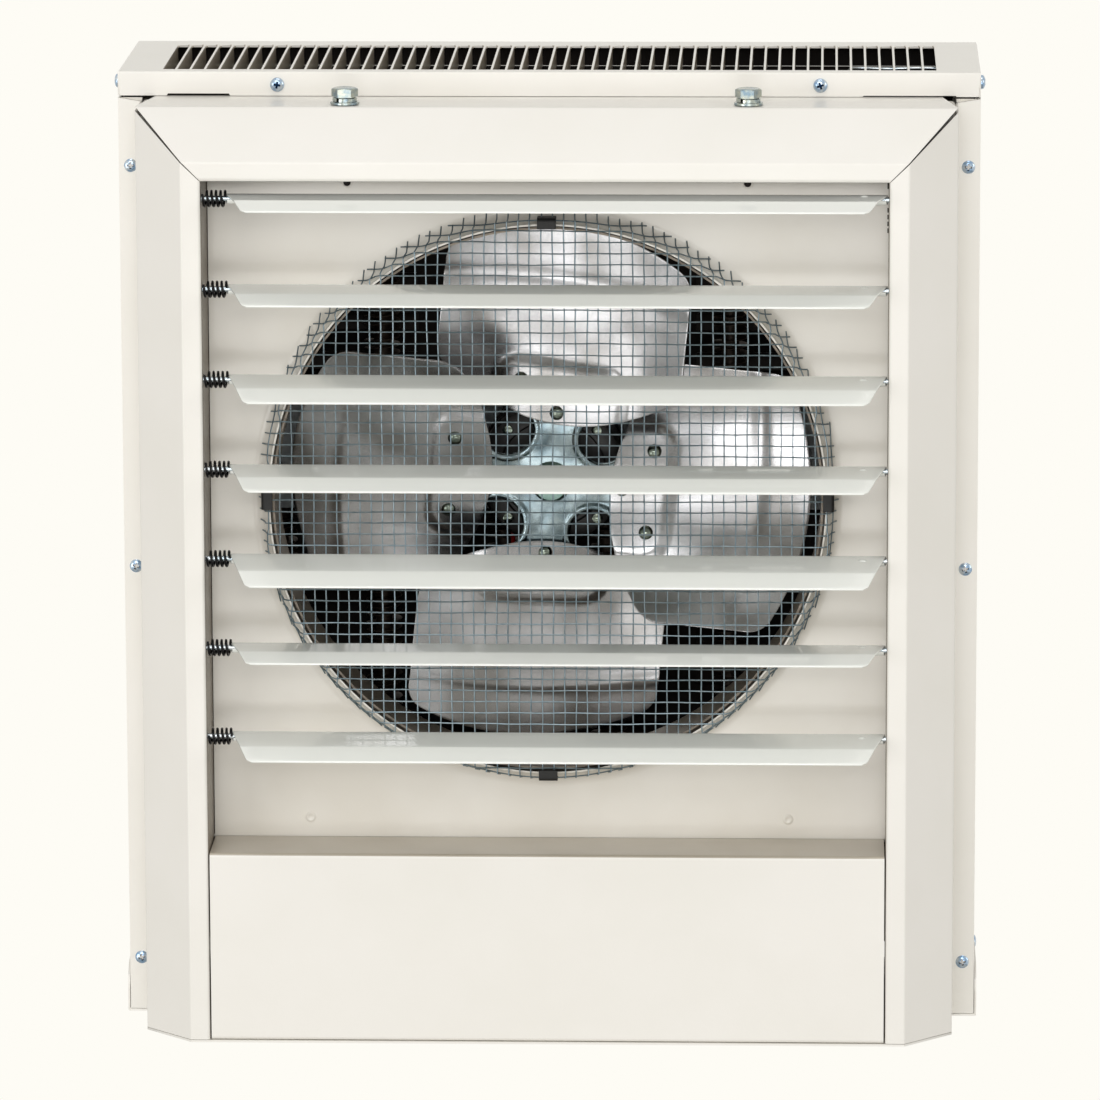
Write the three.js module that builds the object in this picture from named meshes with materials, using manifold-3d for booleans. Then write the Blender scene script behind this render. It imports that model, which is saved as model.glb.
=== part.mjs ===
// Ceiling mounted fan heater: a folded sheet-steel cabinet hung from two bolts. A four-blade fan
// behind a wire guard blows over finned heating elements and out through seven tilting louvres.
// The underside is a hinged door over the wiring compartment.
// Millimetres, +Z up, front towards -Y. The origin is midway between the two hanger bolts, on the
// top flange of the bezel. Inside the cabinet group, depths run back from the front of the bezel
// and heights run up from the underside.

import * as THREE from 'three';
import { mergeVertices } from 'three/addons/utils/BufferGeometryUtils.js';
import Module from 'manifold-3d';

const wasm = await Module();
wasm.setup();

// ---- Driving dimensions ----

// Cabinet
const caseWidth = 480;
const caseHeight = 540;
const bezelDepth = 68;
const caseDepth = 128; // behind the bezel
const sheet = 1.2;
const bendRadius = 1; // inside a fold
const fitGap = 0.3; // between pieces that seat on each other
const seamGap = 0.6; // open seam beside a front panel
const mitreGap = 0.4;
const rimWidth = 11; // flat rim round the front opening
const slantWidth = 27; // 45 degree return behind the rim
const caseFlange = 13; // case showing on each side of the bezel
const returnFlange = 13.5;
const mouthDepth = 42.7; // reveal of the front opening
const ledgeHeight = 109;
const panelReturn = 18;
const lidFlange = 14;
const lidSeam = 2; // open groove under the lid
const cleatHeight = 38;

// Lid slots and rear grille
const lidSlotCount = 54;
const lidSlotPitch = 8;
const lidSlotWidth = 5.2;
const lidSlotFront = 8.4;
const lidSlotBack = 19;
const grilleColumns = 3;
const grilleRows = 16;
const grilleSlotLength = 122;
const grilleSlotHeight = 8;
const grilleColumnPitch = 142;
const grilleRowPitch = 23;
const grilleTopMargin = 30;
const grilleLift = 11; // bottom edge of the rear grille, clear of the door

// Baffle, fan ring and guard
const fanRise = 5.5; // fan centre above the middle of the opening
const baffleFlange = 23;
const collarHeight = 10;
const collarFillet = 9.5;
const collarGap = 1; // between collar and shroud
const shroudLength = 42;
const shroudSetback = 3;
const shroudFlange = 26;
const guardThickness = 1.6;
const guardPitch = 25.4;
const guardOverhang = 1.6; // folded edge outside the collar
const guardSkirt = 3;
const clipWidth = 10.5;
const clipReach = 7.5;
const clipDepth = 8;
const clipSheet = 1.2;

// Fan
const fanMargin = 42; // blade tips to the edge of the opening
const tipClearance = 5.6;
const bladeCount = 4;
const bladeHalfChord = 74;
const bladeRoot = 36; // inner edge, on the blade's centre line
const bladeShoulder = 60; // inner edge, at the corners
const bladeSheet = 1.2;
const bladePitch = 19; // degrees
const bladeCamber = 7;
const bladeTipCorner = 15;
const bladeRootCorner = 8;
const bladeFlatHalf = 36; // half width of the flat root
const bladeFlatLength = 66; // radius where the flat root ends
const fanTurn = 6; // degrees clockwise, as photographed
const spiderSheet = 2;
const spiderReach = 62;
const spiderHalfWidth = 32;
const spiderNeck = 13.4; // half width between the round notches
const spiderNotch = 13.4; // notch radius
const spiderLand = 3; // straight edge between notch and corner
const spiderHeelRadius = 5;
const spiderToeRadius = 8;
const spiderDisc = 23;
const hubRadius = 9.85;
const hubForward = 8;
const hubBack = 14;
const shaftRadius = 4;
const shaftEmbed = 18; // shaft inside the motor

// Motor and its bracket
const motorRadius = 42;
const motorLength = 50;
const motorStandoff = 23; // blade roots to motor face
const motorBoss = 12;
const bracketHeight = 60;
const bracketReturn = 30;

// Heating elements
const elementCount = 3;
const elementSpacing = 130;
const elementLegSpacing = 60;
const elementTube = 5; // radius
const elementHeadroom = 26; // bend to lid
const elementBackGap = 6;
const elementFrontGap = 3;
const finRadius = 10.5;
const finThickness = 1.2;
const finsPerLeg = 7;
const finMargin = 16; // bare tube at each end of the fins
const terminalDrop = 21; // element ends below the control tray

// Wiring compartment
const trayInset = 1.5; // tray edge to the case wall
const traySheet = 1.2;
const trayDrop = 1; // tray top below the ledge
const contactorWidth = 45;
const contactorDepth = 52;
const contactorHeight = 60;
const contactorOffset = -78;
const terminalPoles = 4;
const terminalPitch = 19;
const terminalDepth = 24;
const terminalHeight = 26;
const terminalOffset = 40;
const componentLift = 13; // above the underside
const cutoutRadius = 8;
const cutoutFlange = 13;
const cutoutDepth = 9;

// Louvres
const louverCount = 7;
const louverPitch = 50.5;
const louverDrop = 10; // first pivot below the top of the opening
const louverPivotDepth = 5.7;
const louverSheet = 0.9;
const louverWeb = 20;
const louverLip = 11;
const louverLipAngle = 17.5; // degrees
const louverFoldInset = 8; // how far the ends draw in at the fold
const louverTipInset = 12; // and at the lip
const louverCorner = 4;
const louverTilts = [2, 5.5, 12, 10, 16, 2, 11.5]; // degrees, front down, from the top
const rodRadius = 1.6;
const rodOverhang = 5; // rod past the face of each post
const rodHole = 2.1;

// Louvre springs
const springLength = 12.9;
const springDiameter = 9.5;
const springWire = 1.4;
const springTurns = 5;
const springSteps = 8; // per turn
const springSides = 5;

// Hanger bolts
const hangerSpacing = 222.8;
const boltRadius = 3.97;
const boltHole = 4.4;
const boltAcross = 12.7;
const boltHead = 5.3;
const boltLength = 25.4;
const nutHeight = 6.8;
const nutClearance = 0.65; // nut to baffle
const flatWasherRadius = 8;
const flatWasherThickness = 1.5;
const lockWasherRadius = 6.75;
const lockWasherThickness = 2;
const lockWasherSplit = 1.5;

// Bottom door
const earHeight = 28;
const earCorner = 14;
const doorPivotRise = 14;
const doorPivotSetback = 12; // pivot ahead of the rear face
const pivotRadius = 2.4;
const pivotHead = 4.5;
const pivotHeadThickness = 1.8;

// Round sections
const ringSegments = 36;
const smallSegments = 12;
const bendSteps = 3;

// ---- Derived places ----

const caseHalf = caseWidth / 2;
const bezelHalf = caseHalf - caseFlange;
const rimHalf = bezelHalf - slantWidth;
const openingHalf = rimHalf - rimWidth;
const bezelTop = caseHeight - lidFlange;
const rimTop = bezelTop - slantWidth;
const openingTop = rimTop - rimWidth;
const caseFront = bezelDepth + sheet + fitGap;
const caseBack = bezelDepth + caseDepth;
const shellBottom = sheet + fitGap;
const sideTop = bezelTop - lidSeam;
const grilleFront = caseBack - sheet;
const baffleFront = mouthDepth + fitGap;
const baffleBack = baffleFront + sheet;
const baffleHalf = bezelHalf - sheet - fitGap;
const baffleTop = bezelTop - sheet - fitGap;
const baffleBottom = ledgeHeight - sheet;
const fanCentre = (ledgeHeight + openingTop) / 2 + fanRise;
const fanRadius = Math.min(openingHalf, (openingTop - ledgeHeight) / 2) - fanMargin;
const shroudInner = fanRadius + tipClearance;
const shroudOuter = shroudInner + sheet;
const collarInner = shroudOuter + collarGap;
const collarOuter = collarInner + sheet;
const collarFront = baffleFront - collarHeight;
const collarBase = collarOuter + collarFillet;
const guardFront = collarFront - fitGap - guardThickness;
const guardInner = collarOuter + 2 * fitGap;
const guardOuter = guardInner + guardOverhang;
const elementDepth = grilleFront - elementBackGap - finRadius;
const bracketBack = elementDepth - finRadius - elementFrontGap;
const motorBack = bracketBack - sheet - fitGap;
const motorFace = motorBack - motorLength;
const fanPlane = motorFace - motorStandoff;
const trayTop = ledgeHeight - trayDrop;
const trayBottom = trayTop - traySheet;
const hemInner = rodRadius + fitGap;
const hemOuter = hemInner + louverSheet;
const louverLeft = springLength + 2 * fitGap - openingHalf;
const louverRight = openingHalf - seamGap;
const hangerDepth = baffleFront - boltAcross / 2 - nutClearance;
const earInner = caseHalf + fitGap;
const earOuter = earInner + sheet;
const doorPivotDepth = caseBack - doorPivotSetback;
const doorRunRadius = doorPivotRise - shellBottom; // what stays inside the door as it turns

// ---- Materials ----

const paint = (color, roughness = 0.42) =>
  new THREE.MeshStandardMaterial({ color, roughness, metalness: 0, flatShading: true });
const metal = (color, roughness) =>
  new THREE.MeshStandardMaterial({ color, roughness, metalness: 1, flatShading: true });

const ivoryEnamel = paint('#efece3');
const louverEnamel = paint('#eceee8', 0.3);
const zincSteel = metal('#b4bdc4', 0.32);
const galvanisedWire = metal('#9fabb3', 0.4);
const brushedAluminium = metal('#d2d3d5', 0.38);
const blackSpring = metal('#26262a', 0.45);
const blackClip = paint('#17171a', 0.5);
const oxidisedSteel = metal('#4c4743', 0.6);
const motorEnamel = paint('#2b2a2c', 0.5);
const phenolic = paint('#2c2622', 0.55);

// ---- Solids ----

// A closed solid from a mesh, with its faces pointing out.
function toSolid(geometry) {
  geometry.deleteAttribute('normal');
  geometry.deleteAttribute('uv');
  const merged = mergeVertices(geometry);
  const corners = merged.index.array;
  const faces = [];
  for (let i = 0; i < corners.length; i += 3) {
    const [a, b, c] = corners.subarray(i, i + 3);
    if (a !== b && b !== c && c !== a) faces.push(a, b, c);
  }
  const build = (triVerts) =>
    new wasm.Manifold(
      new wasm.Mesh({
        numProp: 3,
        vertProperties: merged.attributes.position.array,
        triVerts: Uint32Array.from(triVerts),
      })
    );
  const solid = build(faces);
  return solid.volume() > 0 ? solid : build(faces.reverse());
}

function toGeometry(solid) {
  const { vertProperties, triVerts } = solid.getMesh();
  const geometry = new THREE.BufferGeometry();
  geometry.setAttribute('position', new THREE.BufferAttribute(vertProperties, 3));
  geometry.setIndex(new THREE.BufferAttribute(triVerts, 1));
  return geometry;
}

const join = (...parts) => toGeometry(parts.map(toSolid).reduce((all, part) => all.add(part)));

const cut = (body, ...tools) =>
  toGeometry(tools.map(toSolid).reduce((rest, tool) => rest.subtract(tool), toSolid(body)));

const clip = (body, mould) => toGeometry(toSolid(body).intersect(toSolid(mould)));

const range = (count) => Array.from({ length: count }, (_, i) => i);

// Places count copies evenly about zero.
const spread = (count, pitch) => range(count).map((i) => (i - (count - 1) / 2) * pitch);

// ---- Outlines ----

// Corner points [x, y, radius]: a corner that has a radius becomes an arc.
function rounded(corners, steps = bendSteps) {
  return corners.flatMap(([x, y, radius = 0], i) => {
    const corner = new THREE.Vector2(x, y);
    if (!radius) return [corner];
    const [before, after] = [corners.at(i - 1), corners[(i + 1) % corners.length]].map(([u, v]) =>
      new THREE.Vector2(u, v).sub(corner).normalize()
    );
    const half = before.angleTo(after) / 2;
    const centre = before.clone().add(after).setLength(radius / Math.sin(half)).add(corner);
    const start = before.clone().multiplyScalar(radius / Math.tan(half)).add(corner);
    const sweep = Math.sign(after.cross(before)) * (Math.PI - 2 * half);
    return range(steps + 1).map((k) => start.clone().rotateAround(centre, (sweep * k) / steps));
  });
}

// The section of a folded sheet. Its seen face follows the corners, and the thickness lies to
// their right.
function folded(corners, thickness = sheet) {
  const seen = corners.map(([x, y]) => new THREE.Vector2(x, y));
  const legs = seen.slice(1).map((corner, i) => corner.clone().sub(seen[i]).normalize());
  const front = [];
  const back = [];
  seen.forEach((corner, i) => {
    const [before, after] = [legs[i - 1] ?? legs[i], legs[i] ?? legs[i - 1]];
    const offset = new THREE.Vector2(before.y + after.y, -before.x - after.x).multiplyScalar(
      thickness / (1 + before.dot(after))
    );
    const turn = before.cross(after);
    const [inside, outside] = turn ? [bendRadius, bendRadius + thickness] : [0, 0];
    front.push([corner.x, corner.y, turn < 0 ? outside : inside]);
    back.unshift([corner.x + offset.x, corner.y + offset.y, turn < 0 ? inside : outside]);
  });
  return rounded([...front, ...back]);
}

const mirrored = (corners) => corners.map(([x, ...rest]) => [-x, ...rest]).reverse();

const rectangle = (x0, x1, y0, y1) => [
  [x0, y0],
  [x1, y0],
  [x1, y1],
  [x0, y1],
];

const points = (corners) =>
  corners.map((corner) => (corner.isVector2 ? corner : new THREE.Vector2(...corner)));

function circle(x, y, radius, segments = smallSegments, phase = 0.5) {
  return range(segments).map((k) => {
    const angle = (2 * Math.PI * (k + phase)) / segments;
    return new THREE.Vector2(x + radius * Math.cos(angle), y + radius * Math.sin(angle));
  });
}

// ---- Swept and turned forms ----

function extrude(outline, length, holes) {
  const past = 1;
  const draw = (corners, depth) =>
    new THREE.ExtrudeGeometry(new THREE.Shape(points(corners)), { depth, bevelEnabled: false });
  const drills = holes.map((hole) => draw(hole, length + 2 * past).translate(0, 0, -past));
  return drills.length ? cut(draw(outline, length), ...drills) : draw(outline, length);
}

const axisX = new THREE.Vector3(1, 0, 0);
const axisY = new THREE.Vector3(0, 1, 0);
const axisZ = new THREE.Vector3(0, 0, 1);

// An outline of depths and heights, drawn out across the cabinet.
const alongX = (outline, from, to, holes = []) =>
  extrude(outline, to - from, holes)
    .applyMatrix4(new THREE.Matrix4().makeBasis(axisY, axisZ, axisX))
    .translate(from, 0, 0);

// An outline of widths and heights, drawn out backwards.
const alongY = (outline, from, to, holes = []) =>
  extrude(outline, to - from, holes)
    .applyMatrix4(new THREE.Matrix4().makeBasis(axisX, axisZ, axisY.clone().negate()))
    .translate(0, to, 0);

// A plan outline, drawn upwards.
const alongZ = (outline, from, to, holes = []) =>
  extrude(outline, to - from, holes).translate(0, 0, from);

const block = (x0, x1, y0, y1, z0, z1) => alongZ(rectangle(x0, x1, y0, y1), z0, z1);

// A closed profile of [radius, depth] turned about the front-to-back axis.
const turned = (profile, segments = ringSegments) =>
  new THREE.LatheGeometry(points([...profile, profile[0]]), segments);

// The same, with its axis across.
const turnedAcross = (profile, segments = smallSegments) =>
  turned(profile, segments).rotateZ(-Math.PI / 2);

// Its corners point left and right.
const hexagon = (x, y, across) => circle(x, y, across / Math.sqrt(3), 6, 0);

// A mesh skinned over rings of points, closed by a face at each end.
function skin(rings) {
  const sides = rings[0].length;
  const faces = [];
  rings.slice(1).forEach((_, i) => {
    range(sides).forEach((s) => {
      const [a, b] = [i * sides + s, i * sides + ((s + 1) % sides)];
      faces.push(a, b, b + sides, a, b + sides, a + sides);
    });
  });
  const last = (rings.length - 1) * sides;
  range(sides - 2).forEach((s) => faces.push(0, s + 2, s + 1, last, last + s + 1, last + s + 2));
  const geometry = new THREE.BufferGeometry().setFromPoints(rings.flat());
  geometry.setIndex(faces);
  return geometry;
}

// A round tube along a path. The sideways direction is never along the path.
function tube(path, radius, sides, sideways) {
  return skin(
    path.map((point, i) => {
      const along = (path[i + 1] ?? point).clone().sub(path[i - 1] ?? point).normalize();
      const out = sideways(point).projectOnPlane(along).setLength(radius);
      return range(sides).map((s) =>
        out.clone().applyAxisAngle(along, (2 * Math.PI * s) / sides).add(point)
      );
    })
  );
}

function place(parent, name, geometry, material) {
  const mesh = new THREE.Mesh(toGeometry(toSolid(geometry)), material);
  mesh.name = name;
  parent.add(mesh);
}

const heater = new THREE.Group();
const cabinet = new THREE.Group();
cabinet.position.set(0, -hangerDepth, -bezelTop);
heater.add(cabinet);

// ---- Bezel: a mitred frame of three folded members ----

const postCorners = [
  [-openingHalf, mouthDepth],
  [-openingHalf, 0],
  [-rimHalf, 0],
  [-bezelHalf, slantWidth],
  [-bezelHalf, bezelDepth],
  [-caseHalf, bezelDepth],
];
const louverPivots = range(louverCount).map((k) => openingTop - louverDrop - k * louverPitch);
const hangerPlaces = spread(2, hangerSpacing);

// A wedge on one side of a mitre: above it for a post, below it for the top member.
function mitreWedge(side, above) {
  const margin = 5;
  const shift = mitreGap / Math.SQRT2;
  const [inner, outer] = [openingHalf - margin, bezelHalf + margin];
  const joint = (x) => x - openingHalf + openingTop + (above ? -shift : shift);
  const third = above ? [inner, joint(outer)] : [outer, joint(inner)];
  const wedge = [[inner, joint(inner)], [outer, joint(outer)], third];
  return alongY(wedge.map(([x, z]) => [side * x, z]), -margin, caseFront + margin);
}

function bezelPost(side) {
  const section = folded(side < 0 ? postCorners : mirrored(postCorners));
  const rods = louverPivots.map((z) => circle(louverPivotDepth, z, rodHole, 8));
  const edges = [side * (openingHalf - sheet), side * (openingHalf + 2 * sheet)].sort((a, b) => a - b);
  const rodHoles = rods.map((hole) => alongX(hole, ...edges));
  const strip = [side * bezelHalf, side * (caseHalf + sheet)].sort((a, b) => a - b);
  const stripEnd = block(...strip, slantWidth, caseFront, sideTop, caseHeight);
  return cut(alongZ(section, shellBottom, bezelTop), mitreWedge(side, true), stripEnd, ...rodHoles);
}

function bezelTopMember() {
  const upstand = caseFront + bendRadius;
  const section = folded([
    [mouthDepth, openingTop],
    [0, openingTop],
    [0, rimTop],
    [slantWidth, bezelTop],
    [upstand, bezelTop],
    [upstand, caseHeight - sheet - fitGap],
  ]);
  const boltHoles = hangerPlaces.map((x) =>
    alongZ(circle(x, hangerDepth, boltHole), bezelTop - 2 * sheet, bezelTop + sheet)
  );
  const wedges = [mitreWedge(-1, false), mitreWedge(1, false)];
  return cut(alongX(section, -bezelHalf, bezelHalf), ...wedges, ...boltHoles);
}

place(cabinet, 'bezel_left', bezelPost(-1), ivoryEnamel);
place(cabinet, 'bezel_right', bezelPost(1), ivoryEnamel);
place(cabinet, 'bezel_top', bezelTopMember(), ivoryEnamel);

// ---- Lower front panel, with the ledge under the louvres ----

const panelSection = folded([
  [panelReturn, shellBottom],
  [0, shellBottom],
  [0, ledgeHeight],
  [mouthDepth, ledgeHeight],
]);
place(
  cabinet,
  'lower_front_panel',
  alongX(panelSection, seamGap - openingHalf, openingHalf - seamGap),
  ivoryEnamel
);

// ---- Case sides, rear grille and slotted lid ----

function caseSide(side) {
  const corners = [
    [returnFlange - caseHalf, caseFront],
    [-caseHalf, caseFront],
    [-caseHalf, grilleFront - fitGap],
    [returnFlange - caseHalf, grilleFront - fitGap],
  ];
  const wall = alongZ(folded(side < 0 ? corners : mirrored(corners)), shellBottom, sideTop);
  const across = (from, to) => [side * from, side * to].sort((a, b) => a - b);
  const cleatInner = caseHalf - 2 * sheet - fitGap;
  const cleatEnds = [caseFront + returnFlange, grilleFront - returnFlange];
  const cleatTop = caseHeight - sheet - fitGap;
  const cleat = block(...across(cleatInner, cleatInner + sheet), ...cleatEnds, cleatTop - cleatHeight, cleatTop);
  const seat = block(
    ...across(cleatInner, caseHalf - sheet / 2),
    ...cleatEnds,
    cleatTop - cleatHeight,
    sideTop - lidSeam
  );
  const reach = caseHalf + sheet;
  const corner = block(-reach, reach, doorPivotDepth, caseBack + sheet, 0, doorPivotRise);
  const kept = alongX(circle(doorPivotDepth, doorPivotRise, doorRunRadius, ringSegments), -reach, reach);
  const pivotHole = alongX(
    circle(doorPivotDepth, doorPivotRise, pivotRadius + fitGap),
    ...across(caseHalf - 3 * sheet, reach)
  );
  return cut(join(wall, cleat, seat), cut(corner, kept), pivotHole);
}

place(cabinet, 'case_side_left', caseSide(-1), ivoryEnamel);
place(cabinet, 'case_side_right', caseSide(1), ivoryEnamel);

function rearGrille() {
  const firstRow = sideTop - grilleTopMargin - ((grilleRows - 1) * grilleRowPitch) / 2;
  const slots = spread(grilleColumns, grilleColumnPitch).flatMap((x) =>
    spread(grilleRows, grilleRowPitch).map((dz) =>
      rectangle(
        x - grilleSlotLength / 2,
        x + grilleSlotLength / 2,
        firstRow + dz - grilleSlotHeight / 2,
        firstRow + dz + grilleSlotHeight / 2
      )
    )
  );
  return alongY(rectangle(-caseHalf, caseHalf, grilleLift, sideTop), grilleFront, caseBack, slots);
}

place(cabinet, 'rear_grille', rearGrille(), ivoryEnamel);

function topLid() {
  const slots = spread(lidSlotCount, lidSlotPitch).map((x) =>
    rectangle(
      x - lidSlotWidth / 2,
      x + lidSlotWidth / 2,
      bezelDepth + lidSlotFront,
      caseBack - lidSlotBack
    )
  );
  const top = alongZ(rectangle(-caseHalf, caseHalf, bezelDepth, caseBack), caseHeight - sheet, caseHeight, slots);
  const skirt = alongZ(
    rectangle(-caseHalf, caseHalf, bezelDepth, caseBack),
    bezelTop + fitGap,
    caseHeight - sheet / 2,
    [rectangle(sheet - caseHalf, caseHalf - sheet, bezelDepth + sheet, grilleFront)]
  );
  return join(top, skirt);
}

place(cabinet, 'top_lid', topLid(), ivoryEnamel);

// ---- Hinged bottom door, turning on a rivet at each side ----

function bottomDoor() {
  const half = [
    [rimHalf, 0],
    [bezelHalf, slantWidth],
    [bezelHalf, bezelDepth],
    [earOuter, bezelDepth],
    [earOuter, caseBack],
  ];
  const plate = alongZ([...half, ...mirrored(half)], 0, sheet);
  const ear = rounded([
    [bezelDepth, 0],
    [caseBack, 0],
    [caseBack, earHeight, doorPivotSetback],
    [bezelDepth, earHeight, earCorner],
  ]);
  const hole = circle(doorPivotDepth, doorPivotRise, pivotRadius + fitGap);
  return join(
    plate,
    alongX(ear, -earOuter, -earInner, [hole]),
    alongX(ear, earInner, earOuter, [hole])
  );
}

place(cabinet, 'bottom_door', bottomDoor(), ivoryEnamel);

function doorPivot() {
  const [tail, outer] = [caseHalf - sheet - fitGap, earOuter + fitGap];
  const dome = pivotHead * 0.6;
  return turnedAcross([
    [0, tail - pivotHeadThickness],
    [dome, tail - pivotHeadThickness],
    [pivotHead, tail],
    [pivotRadius, tail],
    [pivotRadius, outer],
    [pivotHead, outer],
    [dome, outer + pivotHeadThickness],
    [0, outer + pivotHeadThickness],
  ]).translate(0, doorPivotDepth, doorPivotRise);
}

place(cabinet, 'door_pivot_right', doorPivot(), zincSteel);
place(cabinet, 'door_pivot_left', doorPivot().scale(-1, 1, 1), zincSteel);

// ---- Baffle with its drawn collar, shroud and wire guard ----

// The collar's wall from the plate to the rim, as an arc of radii and depths.
const collarArc = (radius, steps = 3) =>
  range(steps + 1).map((k) => {
    const angle = (Math.PI / 2) * (1 - k / steps);
    const [centreRadius, centreDepth] = [collarBase, baffleFront - collarFillet];
    return [centreRadius - radius * Math.cos(angle), centreDepth + radius * Math.sin(angle)];
  });

function bafflePanel() {
  const wall = block(-baffleHalf, baffleHalf, baffleFront, baffleFront + baffleFlange, baffleBottom, baffleTop);
  const hollow = block(
    sheet - baffleHalf,
    baffleHalf - sheet,
    baffleBack,
    baffleFront + baffleFlange + sheet,
    baffleBottom - sheet,
    baffleTop - sheet
  );
  const weld = 2;
  const mouth = turned([
    [0, 0],
    [collarBase + weld / 2, 0],
    [collarBase + weld / 2, baffleBack + sheet],
    [0, baffleBack + sheet],
  ]).translate(0, 0, fanCentre);
  const collar = turned([
    [collarBase + weld, baffleFront],
    ...collarArc(collarFillet),
    [collarOuter, collarFront],
    [collarInner, collarFront],
    ...collarArc(collarFillet + sheet).reverse(),
    [collarBase + weld, baffleBack],
  ]).translate(0, 0, fanCentre);
  return join(cut(wall, hollow, mouth), collar);
}

place(cabinet, 'baffle_panel', bafflePanel(), ivoryEnamel);

function fanShroud() {
  const front = collarFront + shroudSetback;
  const flangeFront = baffleBack + fitGap;
  return turned([
    [shroudInner, front],
    [shroudOuter, front],
    [shroudOuter, flangeFront],
    [shroudOuter + shroudFlange, flangeFront],
    [shroudOuter + shroudFlange, flangeFront + sheet],
    [shroudOuter, flangeFront + sheet],
    [shroudOuter, front + shroudLength],
    [shroudInner, front + shroudLength],
  ]).translate(0, 0, fanCentre);
}

place(cabinet, 'fan_shroud', fanShroud(), oxidisedSteel);

// Welded wire mesh, its edge folded back over the collar's rim.
function fanGuard() {
  const back = guardFront + guardThickness;
  const rim = turned([
    [guardInner - 3 * guardOverhang, guardFront],
    [guardOuter, guardFront],
    [guardOuter, back + guardSkirt],
    [guardInner, back + guardSkirt],
    [guardInner, back],
    [guardInner - 3 * guardOverhang, back],
  ]);
  const wires = Math.floor(collarInner / guardPitch);
  const wireHalf = guardThickness / 2;
  const bars = spread(2 * wires + 1, guardPitch).flatMap((offset) => {
    const half = Math.sqrt((collarInner - guardOverhang) ** 2 - offset ** 2);
    return [
      block(-half, half, guardFront, back, offset - wireHalf, offset + wireHalf),
      block(offset - wireHalf, offset + wireHalf, guardFront, back, -half, half),
    ];
  });
  return join(rim, ...bars).translate(0, 0, fanCentre);
}

place(cabinet, 'fan_guard', fanGuard(), galvanisedWire);

// A spring clip that hooks over the guard's edge.
function guardClip() {
  const inner = guardOuter + fitGap;
  const back = guardFront - fitGap;
  const section = folded(
    [
      [inner + clipSheet, back + clipDepth],
      [inner + clipSheet, back - clipSheet],
      [inner - clipReach, back - clipSheet],
    ],
    clipSheet
  );
  return alongZ(section, -clipWidth / 2, clipWidth / 2);
}

['right', 'top', 'left', 'bottom'].forEach((side, quarter) => {
  const clipPlace = new THREE.Group();
  clipPlace.position.z = fanCentre;
  clipPlace.rotation.y = (-quarter * Math.PI) / 2;
  cabinet.add(clipPlace);
  place(clipPlace, `guard_clip_${side}`, guardClip(), blackClip);
});

// ---- Fan: four cambered blades riveted to a pressed spider ----

const fan = new THREE.Group();
fan.position.set(0, fanPlane, fanCentre);
fan.rotation.y = THREE.MathUtils.degToRad(fanTurn);
cabinet.add(fan);

const pitchAngle = THREE.MathUtils.degToRad(-bladePitch);
const smooth = THREE.MathUtils.smoothstep;

// How far a rounded corner draws in, at a distance across the blade.
function cornerDraw(distance, radius) {
  const into = Math.max(0, distance - (bladeHalfChord - radius));
  return radius - Math.sqrt(Math.max(0, radius ** 2 - into ** 2));
}

function fanBlade() {
  const [chordSteps, spanSteps] = [12, 5];
  const station = (i, side) => {
    const z = bladeHalfChord * Math.sin((Math.PI * (i / chordSteps - 0.5)));
    const share = Math.abs(z) / bladeHalfChord;
    const inner = bladeRoot + (bladeShoulder - bladeRoot) * share + cornerDraw(Math.abs(z), bladeRootCorner);
    const outer = Math.sqrt(fanRadius ** 2 - z ** 2) - cornerDraw(Math.abs(z), bladeTipCorner);
    return range(spanSteps + 1).map((j) => {
      const x = inner + ((outer - inner) * j) / spanSteps;
      const pastRoot = smooth(x, bladeFlatLength, bladeFlatLength + bladeFlatHalf);
      const pastFlat = smooth(Math.abs(z), bladeFlatHalf, bladeHalfChord);
      const lift = 1 - (1 - pastRoot) * (1 - pastFlat);
      return new THREE.Vector3(x, -bladeCamber * share ** 2 * lift + (side * bladeSheet) / 2, z);
    });
  };
  return skin(range(chordSteps + 1).map((i) => [...station(i, -1), ...station(i, 1).reverse()]));
}

function spiderArm() {
  const shoulder = spiderNeck + spiderReach - spiderHalfWidth - spiderLand;
  const half = [
    [0, -spiderNeck],
    [shoulder, -spiderNeck, spiderNotch],
    [shoulder, -spiderHalfWidth, spiderHeelRadius],
    [spiderReach, -spiderHalfWidth, spiderToeRadius],
  ];
  const outline = [...half, ...half.map(([x, z, radius]) => [x, -z, radius]).reverse()];
  const front = bladeSheet / 2 + fitGap;
  return alongY(rounded(outline, 4), front, front + spiderSheet);
}

function fanSpider() {
  const front = bladeSheet / 2 + fitGap;
  const disc = turned(
    [
      [0, front],
      [spiderDisc, front],
      [spiderDisc, front + spiderSheet],
      [0, front + spiderSheet],
    ],
    16
  );
  const barrel = turned(
    [
      [0, -hubForward],
      [hubRadius - 1, -hubForward],
      [hubRadius, 1 - hubForward],
      [hubRadius, hubBack],
      [0, hubBack],
    ],
    16
  );
  const bore = turned(
    [
      [0, -hubForward - sheet],
      [shaftRadius + fitGap, -hubForward - sheet],
      [shaftRadius + fitGap, hubBack + sheet],
      [0, hubBack + sheet],
    ],
    16
  );
  const arms = range(bladeCount).map((k) =>
    spiderArm().rotateX(pitchAngle).rotateY((2 * Math.PI * k) / bladeCount)
  );
  return cut(join(disc, barrel, ...arms), bore);
}

place(fan, 'fan_spider', fanSpider(), zincSteel);

range(bladeCount).forEach((k) => {
  const arm = new THREE.Group();
  arm.rotation.y = (2 * Math.PI * k) / bladeCount;
  const pitched = new THREE.Group();
  pitched.rotation.x = pitchAngle;
  arm.add(pitched);
  fan.add(arm);
  place(pitched, `fan_blade_${k + 1}`, fanBlade(), brushedAluminium);
});

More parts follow.
